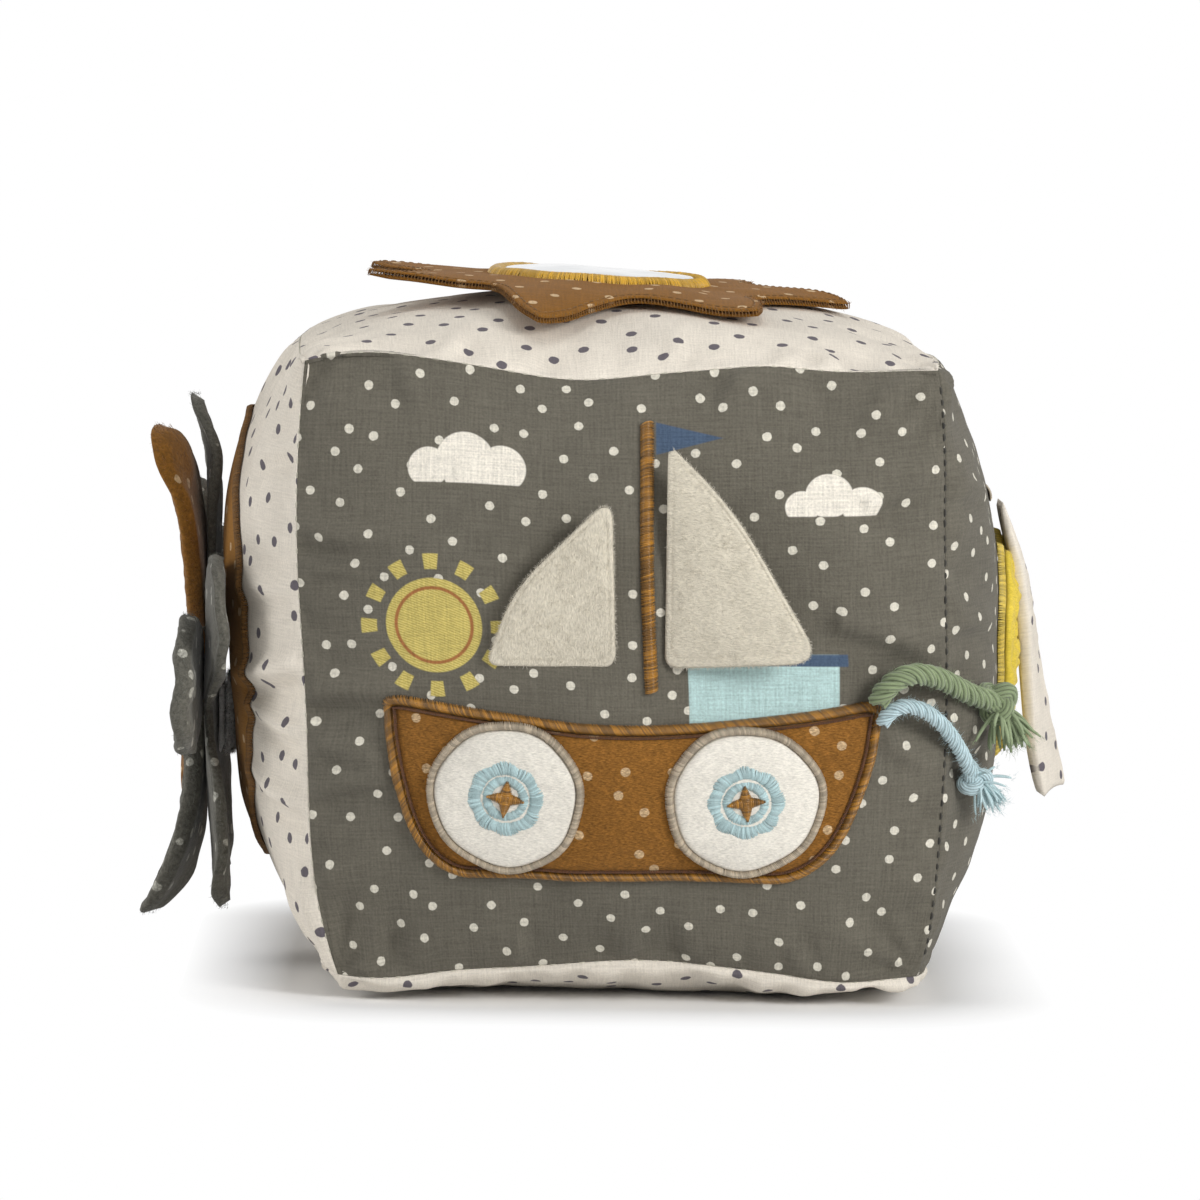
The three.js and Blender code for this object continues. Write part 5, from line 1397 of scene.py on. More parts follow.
def make_porthole(side):
    name = "left" if side < 0 else "right"
    middle = (PORTHOLE_MIDDLE[0] + side * PORTHOLE_SPACING / 2, PORTHOLE_MIDDLE[1])
    place = on_face("front")
    low = VELOUR_THICK + CLEAR

    def round_line(radius):
        return ring_points(
            lambda angle: radius + 0.22 * np.sin(3 * angle + side) + 0.12 * np.sin(7 * angle), middle, 160)

    disc = pad(f"{name}_disc", round_line(PORTHOLE_RADIUS - 0.6), middle, level(low - 1.2), crowned(low, 1.5),
               place, MATERIALS["white velour"], rings=26, ripple=0.13, seed=20 + side)
    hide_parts(f"{name}_porthole")
    beige = MATERIALS["beige thread"]
    rim = satin(f"{name}_rim", round_line(PORTHOLE_RADIUS), 1.7, low - 0.25, 1.55, place, beige, 30 + side)
    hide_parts(f"{name}_porthole_rim")
    make_rosette(name, middle, low + 1.35, side)
    make_star(name, middle, low + 1.35, side)


def make_rosette(name, middle, low, side):
    """Scalloped blue embroidery in two rings, the outer one with eight scallops."""
    place = on_face("front")
    chance = np.random.default_rng(50 + side)
    starts, ends, arches = [], [], []
    for inner, outer, count, scallop in ((2.3, 4.2, 84, 0.0), (4.2, 6.35, 136, 0.62)):
        angle = np.linspace(0, 2 * np.pi, count, endpoint=False) + chance.normal(0, 0.006, count)
        near = inner + chance.normal(0, 0.05, count)
        far = outer + scallop * np.abs(np.cos(4 * angle)) + chance.normal(0, 0.04, count)
        spin = chance.normal(0, 0.012, count) + 0.05
        start = place(*polar(middle, near, angle), low)
        end = place(*polar(middle, far, angle + spin), low - 0.1)
        top = place(*polar(middle, (near + far) / 2, angle), low + 0.42)
        starts.append(start)
        ends.append(end)
        arches.append(top - (start + end) / 2)
    starts, ends, arches = np.vstack(starts), np.vstack(ends), np.vstack(arches)
    rosette = threads(f"{name}_rosette", starts, ends, arches, 0.19, MATERIALS["blue thread"], 60 + side)
    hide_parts(f"{name}_porthole_rosette")


def make_star(name, middle, low, side):
    """A gold four-pointed star in the rosette's middle."""
    place = on_face("front")
    arm_length, arm_half_width = 3.6, 1.35
    starts, ends = [], []
    for arm in range(4):
        direction = arm * math.pi / 2 + 0.12 * side
        along = np.array((math.cos(direction), math.sin(direction)))
        aside = np.array((-along[1], along[0]))
        for away in np.arange(0.15, 3.4, 0.33):
            half = arm_half_width * (1 - away / arm_length) ** 0.8
            spot = middle + along * away
            starts.append(spot - aside * half)
            ends.append(spot + aside * half)
    starts, ends = np.array(starts), np.array(ends)
    centre = (starts + ends) / 2
    left, right = place(starts[:, 0], starts[:, 1], low + 0.25), place(ends[:, 0], ends[:, 1], low + 0.25)
    arches = place(centre[:, 0], centre[:, 1], low + 0.95) - (left + right) / 2
    star = threads(f"{name}_star", left, right, arches, 0.22, MATERIALS["gold thread"], 70 + side)
    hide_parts(f"{name}_porthole_star")


def make_mast():
    place = on_face("front")
    line = np.stack([np.full(80, MAST_U), np.linspace(MAST_FOOT_V, MAST_TOP_V, 80)], -1)
    mast = satin("mast", line, MAST_WIDTH, 0.1, 1.35, place, MATERIALS["gold thread"], 15, closed=False)
    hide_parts("mast_stitching")


# Sails

def rounded_polygon(corners, count):
    """A closed outline through (x, y, rounding) corners."""
    made = []
    total = len(corners)
    for k, (x, y, rounding) in enumerate(corners):
        here = np.array((x, y), float)
        back = np.array(corners[k - 1][:2], float) - here
        ahead = np.array(corners[(k + 1) % total][:2], float) - here
        start, end = here + unit(back) * rounding, here + unit(ahead) * rounding
        made.append(quadratic(np.linspace(0, 1, 12)[:, None], start, here, end))
    return evenly(np.vstack(made), count, True)


def joint_place(body):
    """Where a body's joint is, in millimetres."""
    joint = [joint for joint in frame["joints"] if joint["child"] == body][0]
    return np.array(joint["pos_m"]) / MM


def make_sail(name, node, body, corners, away_axis, along_axis, swing_axis, degrees, seed):
    """A double layer of terry with a rolled edge, caught along one side and free on the others."""
    origin = joint_place(body)
    swing = np.array(Matrix.Rotation(math.radians(degrees), 3, Vector(swing_axis)))
    away, along = swing @ np.array(away_axis, float), swing @ np.array(along_axis, float)
    out = np.cross(away, along)
    outline = rounded_polygon(corners, 170)
    reach = max(corner[0] for corner in corners)
    middle = np.mean([corner[:2] for corner in corners], axis=0)

    def place(x, y, z):
        share = np.clip(x / reach, 0, 1)
        thick = 1.2 + 1.5 * np.minimum(1, share * 3)
        curl = 0.8 * np.sin(2.6 * share + y / 14 + seed)
        bow = 1.2 * np.sin(np.pi * share * 0.9) + curl * share
        return origin + x[..., None] * away + y[..., None] * along + (z * thick + bow)[..., None] * out

    def swell(share):
        return 0.525 * rounded(share, 0.30, 5)

    def top(share):
        return swell(share) - groove(share, 0.90, 0.022, 0.10)

    sail = pad(name, outline, middle, lambda share: -swell(share), top, place, MATERIALS["terry"], body,
               rings=34, low_rings=16, ripple=0.07, seed=seed)
    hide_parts(node)

    # pile on both sides, and more of it round the free edges
    chance = np.random.default_rng(seed)
    on_sides, on_edge = 2200, 900
    spread = np.sqrt(chance.uniform(0.0, 1.0, on_sides))
    pick = chance.integers(0, len(outline), on_sides)
    flat = middle + (outline[pick] - middle) * spread[:, None]
    way = np.where(chance.uniform(0, 1, on_sides) < 0.7, 1, -1)
    roots = place(flat[:, 0], flat[:, 1], way * swell(spread) * 0.96)
    aims = out * way[:, None] + chance.normal(0, 0.6, (on_sides, 3))
    rim = evenly(outline, on_edge, True)
    rim_height = chance.uniform(-0.3, 0.3, on_edge)
    beyond = rim + (rim - middle) * 0.1
    rim_roots = place(rim[:, 0], rim[:, 1], rim_height)
    outward = unit(place(beyond[:, 0], beyond[:, 1], rim_height) - rim_roots)
    rim_aims = outward + chance.normal(0, 0.6, (on_edge, 3))
    free = rim[:, 0] > 1.0
    roots, aims = np.vstack([roots, rim_roots[free]]), np.vstack([aims, rim_aims[free]])
    pile = fibres(f"{name}_pile", roots, aims, 0.5, 0.05, MATERIALS["terry fibre"], seed + 2, body)


def make_sails():
    """Both sails, with each corner's place from the joint and its rounding."""
    make_sail("mainsail", "mainsail_flap", "mainsail", (
        (0, 0, 2.5), (28, 1.6, 6), (11.76, 28.8, 9), (0, 40, 2.5)), (1, 0, 0), (0, 0, 1), (0, 0, 1), -5, 81)
    make_sail("jib", "jib_flap", "jib", (
        (0, 0, 2.5), (31, 1.15, 5), (13.95, 18.4, 7), (0, 23, 2.5)), (0, 0, 1), (-1, 0, 0), (1, 0, 0), 6, 91)


# Top flower

def on_flower_seat(u, v, height):
    """Points over the top panel, tilted up towards the left as the flower is."""
    ring = MIRROR_RADIUS + MIRROR_RING_WIDTH + 2 * CLEAR
    return over_face("top", u, v, height + TOP_FLOWER_TILT * np.maximum(0, ring + TOP_FLOWER_MIDDLE[0] - u))


def top_lift(u, v, height):
    """Seats the flower's middle on the top panel and lifts its petals, most on the left."""
    du, dv = u - TOP_FLOWER_MIDDLE[0], v - TOP_FLOWER_MIDDLE[1]
    radius = np.hypot(du, dv)
    ring = MIRROR_RADIUS + MIRROR_RING_WIDTH + 2 * CLEAR
    leftwards = np.maximum(0, -du / np.maximum(radius, 1))
    most = TOP_PETAL_LEAST_LIFT + (TOP_PETAL_LIFT - TOP_PETAL_LEAST_LIFT) * leftwards ** 2
    free = np.maximum(0, radius - ring) / (TOP_FLOWER_RADIUS - ring)
    angle = np.arctan2(dv, du)
    wave = 0.55 * np.sin(TOP_FLOWER_PETALS * angle + 1.0) + 0.35 * np.sin(13 * angle)
    return on_flower_seat(u, v, height + most * free ** 1.5 + wave * free ** 2)


def turned_edge(low, height):
    """The top of a cloth layer: it thins to a rounded edge, inside which the stitches draw a groove."""
    def profile(share):
        return low + height * rounded(share, 0.45, 40) - groove(share, 0.958, 0.008, 0.22)
    return profile


def make_top_flower():
    outline_at = petals(TOP_FLOWER_RADIUS, TOP_FLOWER_VALLEY, TOP_FLOWER_PETALS, TOP_PETAL_POINT)
    chance = np.random.default_rng(33)
    tips = chance.normal(0, 1.0, TOP_FLOWER_PETALS + 1)

    def wander(angle):
        """The petals' outline, with each tip a little longer or shorter."""
        position = (angle / (2 * np.pi) * TOP_FLOWER_PETALS) % TOP_FLOWER_PETALS
        petal = np.floor(position + 0.5).astype(int) % TOP_FLOWER_PETALS
        return outline_at(angle) + tips[petal] * 0.8 * np.clip((outline_at(angle) - 34) / 10, 0, 1)

    outline = ring_points(wander, TOP_FLOWER_MIDDLE, 392, TOP_FLOWER_TURN)
    for name, line, low in (("flower_lining", outline, 0.3), ("flower_cover", shrunk(outline, 0.25), 1.25)):
        layer = pad(name, line, TOP_FLOWER_MIDDLE, level(low), turned_edge(low, 0.9), top_lift,
                    MATERIALS["brown cotton"], rings=44, low_rings=14)
        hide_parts(f"top_{name}")
    make_flower_stitches(outline, chance)
    make_mirror()


def make_flower_stitches(outline, chance):
    """A sunk topstitch, threads from the top cloth round to the lining, and loose fibres along the edge."""
    brown = MATERIALS["flower edge thread"]
    start = evenly(shrunk(outline, 1.5), 210, True)
    stop = start + (np.roll(start, -1, 0) - start) * 0.78
    a, b = top_lift(start[:, 0], start[:, 1], 1.98), top_lift(stop[:, 0], stop[:, 1], 1.98)
    topstitch = threads("flower_topstitch", a, b, np.tile((0, 0, 0.12), (len(a), 1)), 0.16, brown, 34)
    count = 520
    inner, outer = evenly(shrunk(outline, 0.75), count, True), evenly(shrunk(outline, -0.02), count, True)
    inner = inner + chance.normal(0, 0.12, inner.shape)
    a, b = top_lift(inner[:, 0], inner[:, 1], 2.02), top_lift(outer[:, 0], outer[:, 1], 0.75)
    bulge = np.column_stack([(outer - inner) * 0.15, chance.uniform(0.02, 0.22, count)])
    oversewn = threads("flower_edge_stitches", a, b, bulge, 0.10, brown, 37)
    fuzz = edge_fibres("flower_fibres", outline, 0.5, 2.0, top_lift, MATERIALS["brown fibre"], 1500, 0.5, 38)


def make_mirror():
    """The round foil mirror on the flower and the satin ring round it."""
    seat = 2.55
    foil_disc = pad("foil", circle(MIRROR_RADIUS + 0.4, TOP_FLOWER_MIDDLE, 120), TOP_FLOWER_MIDDLE,
                    level(seat - 0.2), crowned(seat, 0.5, 0.7, 20), on_flower_seat, MATERIALS["mirror foil"],
                    rings=24, ripple=0.03, seed=35)
    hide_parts("mirror")
    ring_line = circle(MIRROR_RADIUS + MIRROR_RING_WIDTH / 2 + CLEAR, TOP_FLOWER_MIDDLE, 160)
    ring = satin("foil_ring", ring_line, MIRROR_RING_WIDTH + 0.2, seat - 0.7, 1.5, on_flower_seat,
                 MATERIALS["mustard thread"], 36, slant=0.05, radius=0.24)
    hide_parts("mirror_ring")


# Left face

def side_plane(u, v, height):
    """Points over the upright plane that the loose flower lies in."""
    foot = over_face("left", np.array([0.0]), np.array([TAPE_HEIGHT / 2 - TAPE_DROP]))[0]
    plain = -(BODY_HALF + BULGES["left"]) + 0.35
    base = min(foot[0], plain + 0.9)
    return np.stack(np.broadcast_arrays(base - height, -u, CENTRE_Z + v), -1)


def tape_outline():
    half_w, half_h = TAPE_WIDTH / 2, TAPE_HEIGHT / 2
    return rounded_polygon((
        (-half_w, -half_h - TAPE_DROP, 1.2), (half_w, -half_h - TAPE_DROP, 1.2),
        (half_w, half_h - TAPE_DROP, 1.2), (-half_w, half_h - TAPE_DROP, 1.2)), 120)


def make_left_face():
    place = on_face("left")
    middle = LEFT_PATCH_MIDDLE
    patch_line = ring_points(lambda angle: LEFT_PATCH_RADIUS + 0.5 * np.sin(5 * angle), middle, 200)
    cloth = pad("left_patch_cloth", patch_line, middle, level(0.1), crowned(0.25, 0.75, 0.5, 24), place,
                MATERIALS["patch cotton"], rings=30)
    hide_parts("left_patch")
    edge = satin("left_disc_edge", patch_line, 1.3, 0.2, 1.1, place, MATERIALS["flower edge thread"], 41)
    make_tapes(place)
    make_side_flower(HOOK_LEVEL + 1.5)


def make_tapes(place):
    """The fuzzy loop tape on the patch, and the hook tape on the flower that holds on to it."""
    line, middle = tape_outline(), (0, -TAPE_DROP)

    def between(u, v, share):
        """Places from the patch to just under the flower's half of the tape, by their share of the way."""
        share = np.asarray(share, float)[..., None]
        return place(u, v, 1.15) * (1 - share) + side_plane(u, v, HOOK_LEVEL - 0.25) * share

    loop = pad("loop_side", line, middle, level(0), crowned(0, 1.0, 0.75, 14), between, MATERIALS["tape"],
               rings=18, low_rings=10, seed=42)
    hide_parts("loop_tape")
    fuzz = edge_fibres("loop_fibres", line, 0.05, 0.9, between, MATERIALS["tape fibre"], 2600, 0.9, 43)
    hook = pad("hook_side", line, middle, level(HOOK_LEVEL), crowned(HOOK_LEVEL, 1.1, 0.6, 12), side_plane,
               MATERIALS["tape"], "side_flower", rings=18, ripple=0.1, seed=44)
    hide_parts("hook_tape")


def crumple(u, v):
    """How far the loose flower's layers bend off their plane together, most at the petals' tips."""
    radius = np.hypot(u, v + SIDE_FLOWER_DROP)
    free = np.clip((radius - 15) / 30, 0, 1.2)
    tip = np.maximum(0, (radius - 38) / 12)
    bend = 1.0 * soft_noise(u / 12 + 3, v / 12 + 5, 71) + 0.45 * soft_noise(u / 4.6, v / 4.6, 72)
    return free * bend + 1.8 * tip ** 2


def make_side_flower(low):
    """Grey inner petals, five padded petals in two colours and a round middle, all loose from the cube."""
    middle = (0.0, -SIDE_FLOWER_DROP)
    half = INNER_PETAL_THICK
    inner_at = petals(INNER_PETAL_RADIUS, INNER_PETAL_VALLEY, 5, 2.4)
    outline = ring_points(inner_at, middle, 300, math.radians(90))

    def inner_place(u, v, height):
        radius = np.hypot(u - middle[0], v - middle[1])
        far, divisor = radius / INNER_PETAL_RADIUS, np.maximum(radius, 0.01)
        upwards, frontwards = (v - middle[1]) / divisor, np.maximum(0, u) / divisor
        # the upper petals bend away from the cube, those towards the front and the bottom droop back to it
        bend = 3.0 * np.maximum(0, upwards) ** 2 * (np.maximum(0, far - 0.5) / 0.5) ** 2
        droop = 4.6 * frontwards + 2.2 * np.maximum(0, -upwards)
        bend = bend - droop * np.clip((far - 0.35) / 0.65, 0, 1) ** 1.5
        # the layer is fuller towards its tips, on the side of the cube
        fuller = 1 + 0.9 * np.clip((radius - 26) / 12, 0, 1) * (height < half)
        return side_plane(u, v, low + bend + half + (height - half) * fuller + crumple(u, v))

    def rise(share):
        return half * rounded(share, 0.45, 16) - groove(share, 0.93, 0.014, 0.30)

    inner = pad("inner_petals", outline, middle, lambda share: half - rise(share),
                lambda share: half + rise(share), inner_place, MATERIALS["petal grey velour"], "side_flower",
                rings=40, low_rings=34, ripple=0.10, seed=51)
    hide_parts("side_flower_inner_petals")
    fuzz = edge_fibres("inner_petal_fibres", outline, 0.3, 1.5, inner_place, MATERIALS["grey fibre"], 1300,
                       0.75, 52, "side_flower")
    outer_low = low + 2.1
    for k in range(OUTER_PETALS):
        make_outer_petal(k, outer_low)
    button = pad("flower_middle", circle(SIDE_MIDDLE_RADIUS, middle, 90), middle, level(outer_low),
                 crowned(outer_low, 3.0, 0.3, 4), side_plane, MATERIALS["petal brown velour"], "side_flower",
                 rings=14, ripple=0.1, seed=53)
    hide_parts("side_flower_middle")


def make_outer_petal(k, low):
    """One padded petal: an oval that is drawn in towards the flower's middle and curls at its tip."""
    angle = math.radians(-2 + 360 / OUTER_PETALS * k)
    shade = "brown" if k % 2 == 1 else "grey"
    node = f"side_flower_{shade}_petal_{k // 2 + 1}"
    half, wide, long, thick = OUTER_PETAL_LENGTH / 2, OUTER_PETAL_WIDTH, OUTER_PETAL_LENGTH, OUTER_PETAL_THICK
    curl = 6.5 * abs(math.sin(angle)) ** 2 + 0.5
    turn = np.linspace(0, 2 * np.pi, 150, endpoint=False)
    radius = half * wide / np.hypot(wide * np.cos(turn), long * np.sin(turn))
    outline = np.stack([radius * np.cos(turn), radius * np.sin(turn)], -1)

    def place(along, across, height):
        away = OUTER_PETAL_START + half + along
        share = (along + half) / long
        drawn = across * (0.62 + 0.38 * np.minimum(1, share * 1.6))
        u = away * math.cos(angle) - drawn * math.sin(angle)
        v = away * math.sin(angle) + drawn * math.cos(angle) - SIDE_FLOWER_DROP
        bend = curl * np.maximum(0, (share - 0.35) / 0.65) ** 2
        return side_plane(u, v, low + height + bend + crumple(u, v))

    def rise(share):
        return thick * rounded(share, 0.40, 14)

    def top(share):
        return thick + rise(share) - groove(share, 0.88, 0.022, 0.55)

    petal = pad(node.replace("side_flower_", "flower_"), outline, (0.0, 0.0),
                lambda share: thick - rise(share), top, place, MATERIALS[f"petal {shade} velour"],
                "side_flower", rings=40, low_rings=26, ripple=0.22, seed=55 + k)
    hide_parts(node)
    fuzz = edge_fibres(f"{petal.name}_fibres", outline, 0.9, 2.7, place, MATERIALS[f"{shade} fibre"],
                       760, 0.7, 65 + k, "side_flower")


# Right face

def make_right_face():
    place = on_face("right")
    line = ring_points(
        lambda angle: YELLOW_RADIUS + YELLOW_WAVE_HEIGHT * np.cos(YELLOW_WAVES * angle), (0, 0), 260)
    cloth = pad("yellow_disc", shrunk(line, 0.65), (0, 0), level(0.1), crowned(0.25, 2.9, 0.5, 12), place,
                MATERIALS["yellow velour"], rings=30, ripple=0.8, seed=61)
    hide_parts("yellow_patch")
    border = satin("yellow_satin", line, 1.7, 0.1, 1.35, place, MATERIALS["lemon thread"], 62)
    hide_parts("yellow_border")
    make_long_flap()


def flap_outline():
    """A narrow top, nearly straight sides and a wide, slightly hollow lower end."""
    half, long = LONG_FLAP_WIDTH / 2, LONG_FLAP_LENGTH
    share = np.linspace(0, 1, 60)[:, None]
    return evenly(np.vstack([
        quadratic(share, (-half * 0.75, 0), (0, 0), (half * 0.75, 0)),
        quadratic(share, (half * 0.75, 0), (half, -long * 0.3), (half, -long * 0.7)),
        quadratic(share, (half, -long * 0.7), (half * 1.05, -long * 0.97), (half * 0.8, -long)),
        quadratic(share, (half * 0.8, -long), (0, -long + 1.2), (-half * 0.8, -long)),
        quadratic(share, (-half * 0.8, -long), (-half * 1.05, -long * 0.97), (-half, -long * 0.7)),
        quadratic(share, (-half, -long * 0.7), (-half, -long * 0.3), (-half * 0.75, 0)),
    ]), 260, True)[::-1]


def make_long_flap():
    """A flat sewn sleeve that hangs from a bar tack."""
    root = joint_place("long_flap")
    long = LONG_FLAP_LENGTH
    tilt = math.radians(LONG_FLAP_LEAN)

    def place(u, v, height):
        down = np.abs(v)
        share = np.minimum(1, down / long)
        thick = 1.4 + 2.2 * np.minimum(1, down / LONG_FLAP_WIDTH)
        out = height * thick + 0.9 * np.sin(down / 11 + 0.4) * np.minimum(1, down / 10) - 0.4
        twist = np.radians(LONG_FLAP_TWIST * share * (1 + 0.7 * share))
        x = out * np.cos(twist) + u * np.sin(twist)
        y = u * np.cos(twist) - out * np.sin(twist)
        return root + np.stack([
            x * math.cos(tilt) - v * math.sin(tilt), y, v * math.cos(tilt) + x * math.sin(tilt),
        ], -1)

    def swell(share):
        return 0.5 * rounded(share, 0.22, 5)

    flap = pad("sleeve_flap", flap_outline(), (0.0, -long / 2), lambda share: -swell(share), swell, place,
               MATERIALS["flap cotton"], "long_flap", rings=34, low_rings=24, ripple=0.05, seed=66)
    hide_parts("long_flap")
    make_bar_tack()


def make_bar_tack():
    """Short upright stitches, side by side, that hold the flap's upper end."""
    place = on_face("right")
    count, half_width, half_tall, middle_v = 26, 5.4, 1.5, LONG_FLAP_TOP_V + 2.2
    across = np.linspace(-half_width, half_width, count)
    a, b = place(across, middle_v - half_tall, 0.35), place(across + 0.2, middle_v + half_tall, 0.35)
    outward = np.tile((0.45, 0.0, 0.0), (count, 1))
    tack = threads("bar_tack", a, b, outward, 0.24, MATERIALS["beige thread"], 68)
    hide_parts("long_flap_bar_tack")


# The rattle

def make_rattle():
    """The capsule and its beads are shown as their own solids, in plastic."""
    plastics = {"rattle_capsule_lower": "capsule plastic", "rattle_capsule_upper": "capsule plastic"}
    for k in range(1, 6):
        plastics[f"rattle_bead_{k}"] = "bead plastic"
    for node, material in plastics.items():
        for place in frame["nodes"][node].material_slots:
            place.material = MATERIALS[material]


# Camera, lights and ground

def make_camera():
    azimuth, elevation, roll = (math.radians(a) for a in (CAMERA_AZIMUTH, CAMERA_ELEVATION, CAMERA_ROLL))
    level_ahead = Vector((math.sin(azimuth), math.cos(azimuth), 0))
    ahead = level_ahead * math.cos(elevation) - Vector((0, 0, math.sin(elevation)))
    level_right = Vector((math.cos(azimuth), -math.sin(azimuth), 0))
    level_up = level_right.cross(ahead)
    right = level_right * math.cos(roll) + level_up * math.sin(roll)
    up = -level_right * math.sin(roll) + level_up * math.cos(roll)
    camera_data = bpy.data.cameras.new("photo camera")
    camera = bpy.data.objects.new("photo camera", camera_data)
    bpy.context.scene.collection.objects.link(camera)
    turn = Matrix((right, up, -ahead)).transposed()
    place = Vector((0, 0, CENTRE_Z * MM)) - ahead * CAMERA_AWAY
    camera.matrix_world = Matrix.Translation(place) @ turn.to_4x4()
    camera_data.sensor_width = SENSOR_WIDTH
    camera_data.lens = FOCAL_LENGTH / PICTURE_WIDTH * SENSOR_WIDTH
    camera_data.shift_x = PICTURE_SHIFT[0] / PICTURE_WIDTH
    camera_data.shift_y = PICTURE_SHIFT[1] / PICTURE_WIDTH
    bpy.context.scene.camera = camera


def soft_lamp(name, place, size, power):
    lamp_data = bpy.data.lights.new(name, "AREA")
    lamp_data.shape = "DISK"
    lamp_data.size = size
    lamp_data.energy = power
    lamp = bpy.data.objects.new(name, lamp_data)
    lamp.location = place
    lamp.rotation_euler = (Vector(LAMP_AIM) - Vector(place)).to_track_quat("-Z", "Y").to_euler()
    bpy.context.scene.collection.objects.link(lamp)


def make_backdrop():
    """A world that the camera and the mirror see as white, and that lights the cube less."""
    world = bpy.data.worlds.new("studio")
    bpy.context.scene.world = world
    world.use_nodes = True
    nodes, links = world.node_tree.nodes, world.node_tree.links
    back = nodes["Background"]
    path = nodes.new("ShaderNodeLightPath")
    seen = path.outputs["Is Camera Ray"]
    for kind in ("Is Transmission Ray", "Is Glossy Ray"):
        either = nodes.new("ShaderNodeMath")
        either.operation = "MAXIMUM"
        links.new(seen, either.inputs[0])
        links.new(path.outputs[kind], either.inputs[1])
        seen = either.outputs[0]
    strength = nodes.new("ShaderNodeMapRange")
    strength.inputs["To Min"].default_value = 0.4
    strength.inputs["To Max"].default_value = 1.0
    links.new(seen, strength.inputs["Value"])
    links.new(strength.outputs["Result"], back.inputs["Strength"])
    back.inputs["Color"].default_value = (1, 1, 1, 1)


def ground_material():
    """Pale ground that catches the cube's shadow and glows white further out."""
    finish = Finish("pale ground", roughness=1.0, specular=0.0)
    finish.paint((0.93, 0.93, 0.93, 1))
    glow = finish.node("ShaderNodeEmission", {"Color": (1, 1, 1, 1), "Strength": 1.0})
    split = finish.node("ShaderNodeSeparateXYZ", {"Vector": finish.objects()})
    squares = []
    for axis in ("X", "Y"):
        past = finish.maths("SUBTRACT", finish.maths("ABSOLUTE", split.outputs[axis]), FOOTPRINT_HALF)
        squares.append(finish.maths("POWER", finish.maths("MAXIMUM", past, 0.0), 2))
    away = finish.maths("SQRT", finish.maths("ADD", *squares))
    far = finish.remap(away, FADE_START, FADE_END, 0.0, 1.0)
    shown = finish.maths("MULTIPLY", far, finish.node("ShaderNodeLightPath").outputs["Is Camera Ray"])
    mixed = finish.node("ShaderNodeMixShader", {0: shown, 1: finish.shader.outputs[0], 2: glow.outputs[0]})
    finish.feed(finish.nodes["Material Output"].inputs["Surface"], mixed.outputs[0])
    return finish.material


def make_stage():
    make_backdrop()
    work = bmesh.new()
    bmesh.ops.create_grid(work, x_segments=8, y_segments=8, size=4)
    bmesh.ops.translate(work, verts=work.verts, vec=(0, 0, -0.0004))
    mesh = mesh_from(work, "ground")
    mesh.materials.append(ground_material())
    ground = bpy.data.objects.new("ground", mesh)
    bpy.context.scene.collection.objects.link(ground)
    for name, (place, size, power) in LAMPS.items():
        soft_lamp(name, place, size, power)
    bpy.context.scene.view_settings.view_transform = "Standard"


# Operators

class CUBE_OT_camera(bpy.types.Operator):
    """Places the camera at the photo's angle"""
    bl_idname = "activity_cube.camera"
    bl_label = "Camera"

    def execute(self, context):
        make_camera()
        return {"FINISHED"}


class CUBE_OT_materials(bpy.types.Operator):
    """Makes the cloth, velour, thread, cord, foil and plastic materials, and the creases of the cloth"""
    bl_idname = "activity_cube.materials"
    bl_label = "Materials"

    def execute(self, context):
        make_materials()
        make_relief()
        return {"FINISHED"}


class CUBE_OT_cords(bpy.types.Operator):
    """Makes the two twisted cords with their knots and tassels"""
    bl_idname = "activity_cube.cords"
    bl_label = "Cords"

    def execute(self, context):
        make_cord("green_cord", GREEN_ROUTE, GREEN_DIAMETER, GREEN_HANG, 21)
        make_cord("blue_cord", BLUE_ROUTE, BLUE_DIAMETER, BLUE_HANG, 23)
        return {"FINISHED"}


class CUBE_OT_cover(bpy.types.Operator):
    """Makes the six cotton panels and the seams between them"""
    bl_idname = "activity_cube.cover"
    bl_label = "Cover"

    def execute(self, context):
        for face in PANEL_CLOTHS:
            make_panel(face)
        make_seam_stitches()
        return {"FINISHED"}


class CUBE_OT_filling(bpy.types.Operator):
    """Makes the two wads of filling and finishes the rattle inside them"""
    bl_idname = "activity_cube.filling"
    bl_label = "Filling and rattle"

    def execute(self, context):
        stuffed_wad("filling_lower", False)
        stuffed_wad("filling_upper", True)
        make_rattle()
        return {"FINISHED"}


class CUBE_OT_boat(bpy.types.Operator):
    """Makes the boat's hull, portholes and mast on the front panel"""
    bl_idname = "activity_cube.boat"
    bl_label = "Boat"

    def execute(self, context):
        make_hull()
        make_porthole(-1)
        make_porthole(1)
        make_mast()
        return {"FINISHED"}


class CUBE_OT_sails(bpy.types.Operator):
    """Makes the two terry sails that lift from the front panel"""
    bl_idname = "activity_cube.sails"
    bl_label = "Sails"

    def execute(self, context):
        make_sails()
        return {"FINISHED"}


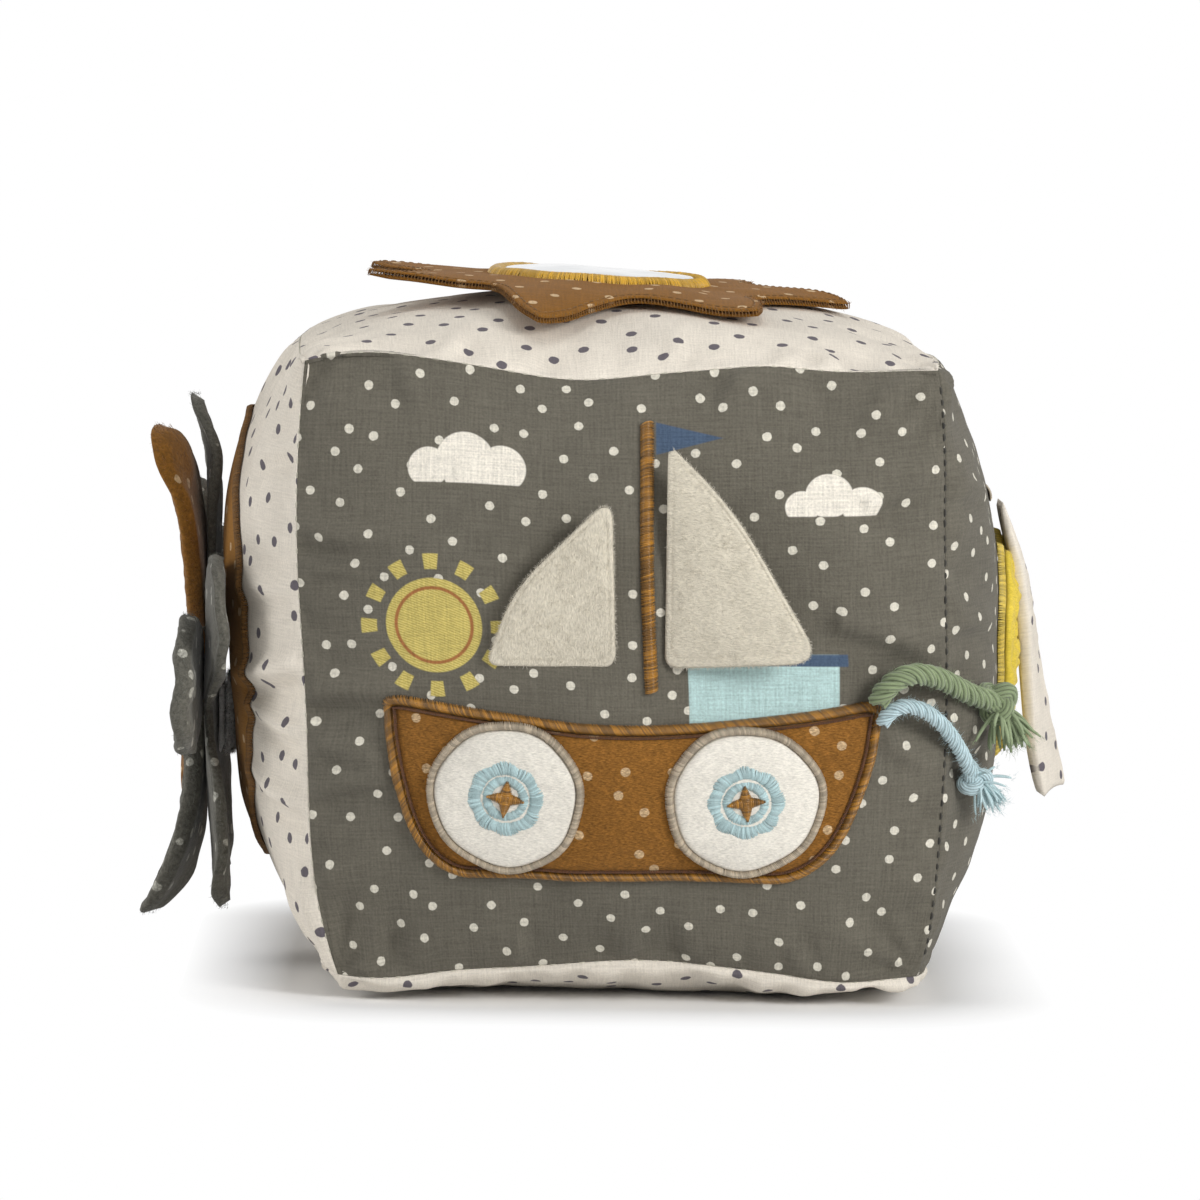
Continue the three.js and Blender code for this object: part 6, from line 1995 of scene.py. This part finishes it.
class CUBE_OT_top_flower(bpy.types.Operator):
    """Makes the cloth flower with the mirror on the top panel"""
    bl_idname = "activity_cube.top_flower"
    bl_label = "Mirror flower"

    def execute(self, context):
        make_top_flower()
        return {"FINISHED"}


class CUBE_OT_left_face(bpy.types.Operator):
    """Makes the patch and tapes on the left panel and the loose padded flower"""
    bl_idname = "activity_cube.left_face"
    bl_label = "Pull-off flower"

    def execute(self, context):
        make_left_face()
        return {"FINISHED"}


class CUBE_OT_right_face(bpy.types.Operator):
    """Makes the yellow patch and the long hanging flap on the right panel"""
    bl_idname = "activity_cube.right_face"
    bl_label = "Yellow patch and flap"

    def execute(self, context):
        make_right_face()
        return {"FINISHED"}


class CUBE_OT_stage(bpy.types.Operator):
    """Makes the pale ground and the soft studio light"""
    bl_idname = "activity_cube.stage"
    bl_label = "Stage"

    def execute(self, context):
        make_stage()
        return {"FINISHED"}


STEPS = (
    CUBE_OT_camera, CUBE_OT_materials, CUBE_OT_cords, CUBE_OT_cover, CUBE_OT_filling, CUBE_OT_boat,
    CUBE_OT_sails, CUBE_OT_top_flower, CUBE_OT_left_face, CUBE_OT_right_face, CUBE_OT_stage,
)


class CUBE_PT_steps(bpy.types.Panel):
    """Lists the steps that make the cube and its settings"""
    bl_idname = "CUBE_PT_steps"
    bl_label = "Activity cube"
    bl_space_type = "VIEW_3D"
    bl_region_type = "UI"
    bl_category = "Activity cube"

    def draw(self, context):
        for name in ActivityCubeSettings.__annotations__:
            self.layout.prop(context.scene.activity_cube, name)
        for step in STEPS:
            self.layout.operator(step.bl_idname)


CLASSES = (ActivityCubeSettings, *STEPS, CUBE_PT_steps)


def register():
    for item in CLASSES:
        bpy.utils.register_class(item)
    bpy.types.Scene.activity_cube = PointerProperty(type=ActivityCubeSettings)


def unregister():
    del bpy.types.Scene.activity_cube
    for item in reversed(CLASSES):
        bpy.utils.unregister_class(item)


def main():
    register()
    made = bpy.ops.activity_cube
    made.camera()
    made.materials()
    made.cords()
    made.cover()
    made.filling()
    made.boat()
    made.sails()
    made.top_flower()
    made.left_face()
    made.right_face()
    made.stage()


if __name__ == "__main__":
    main()
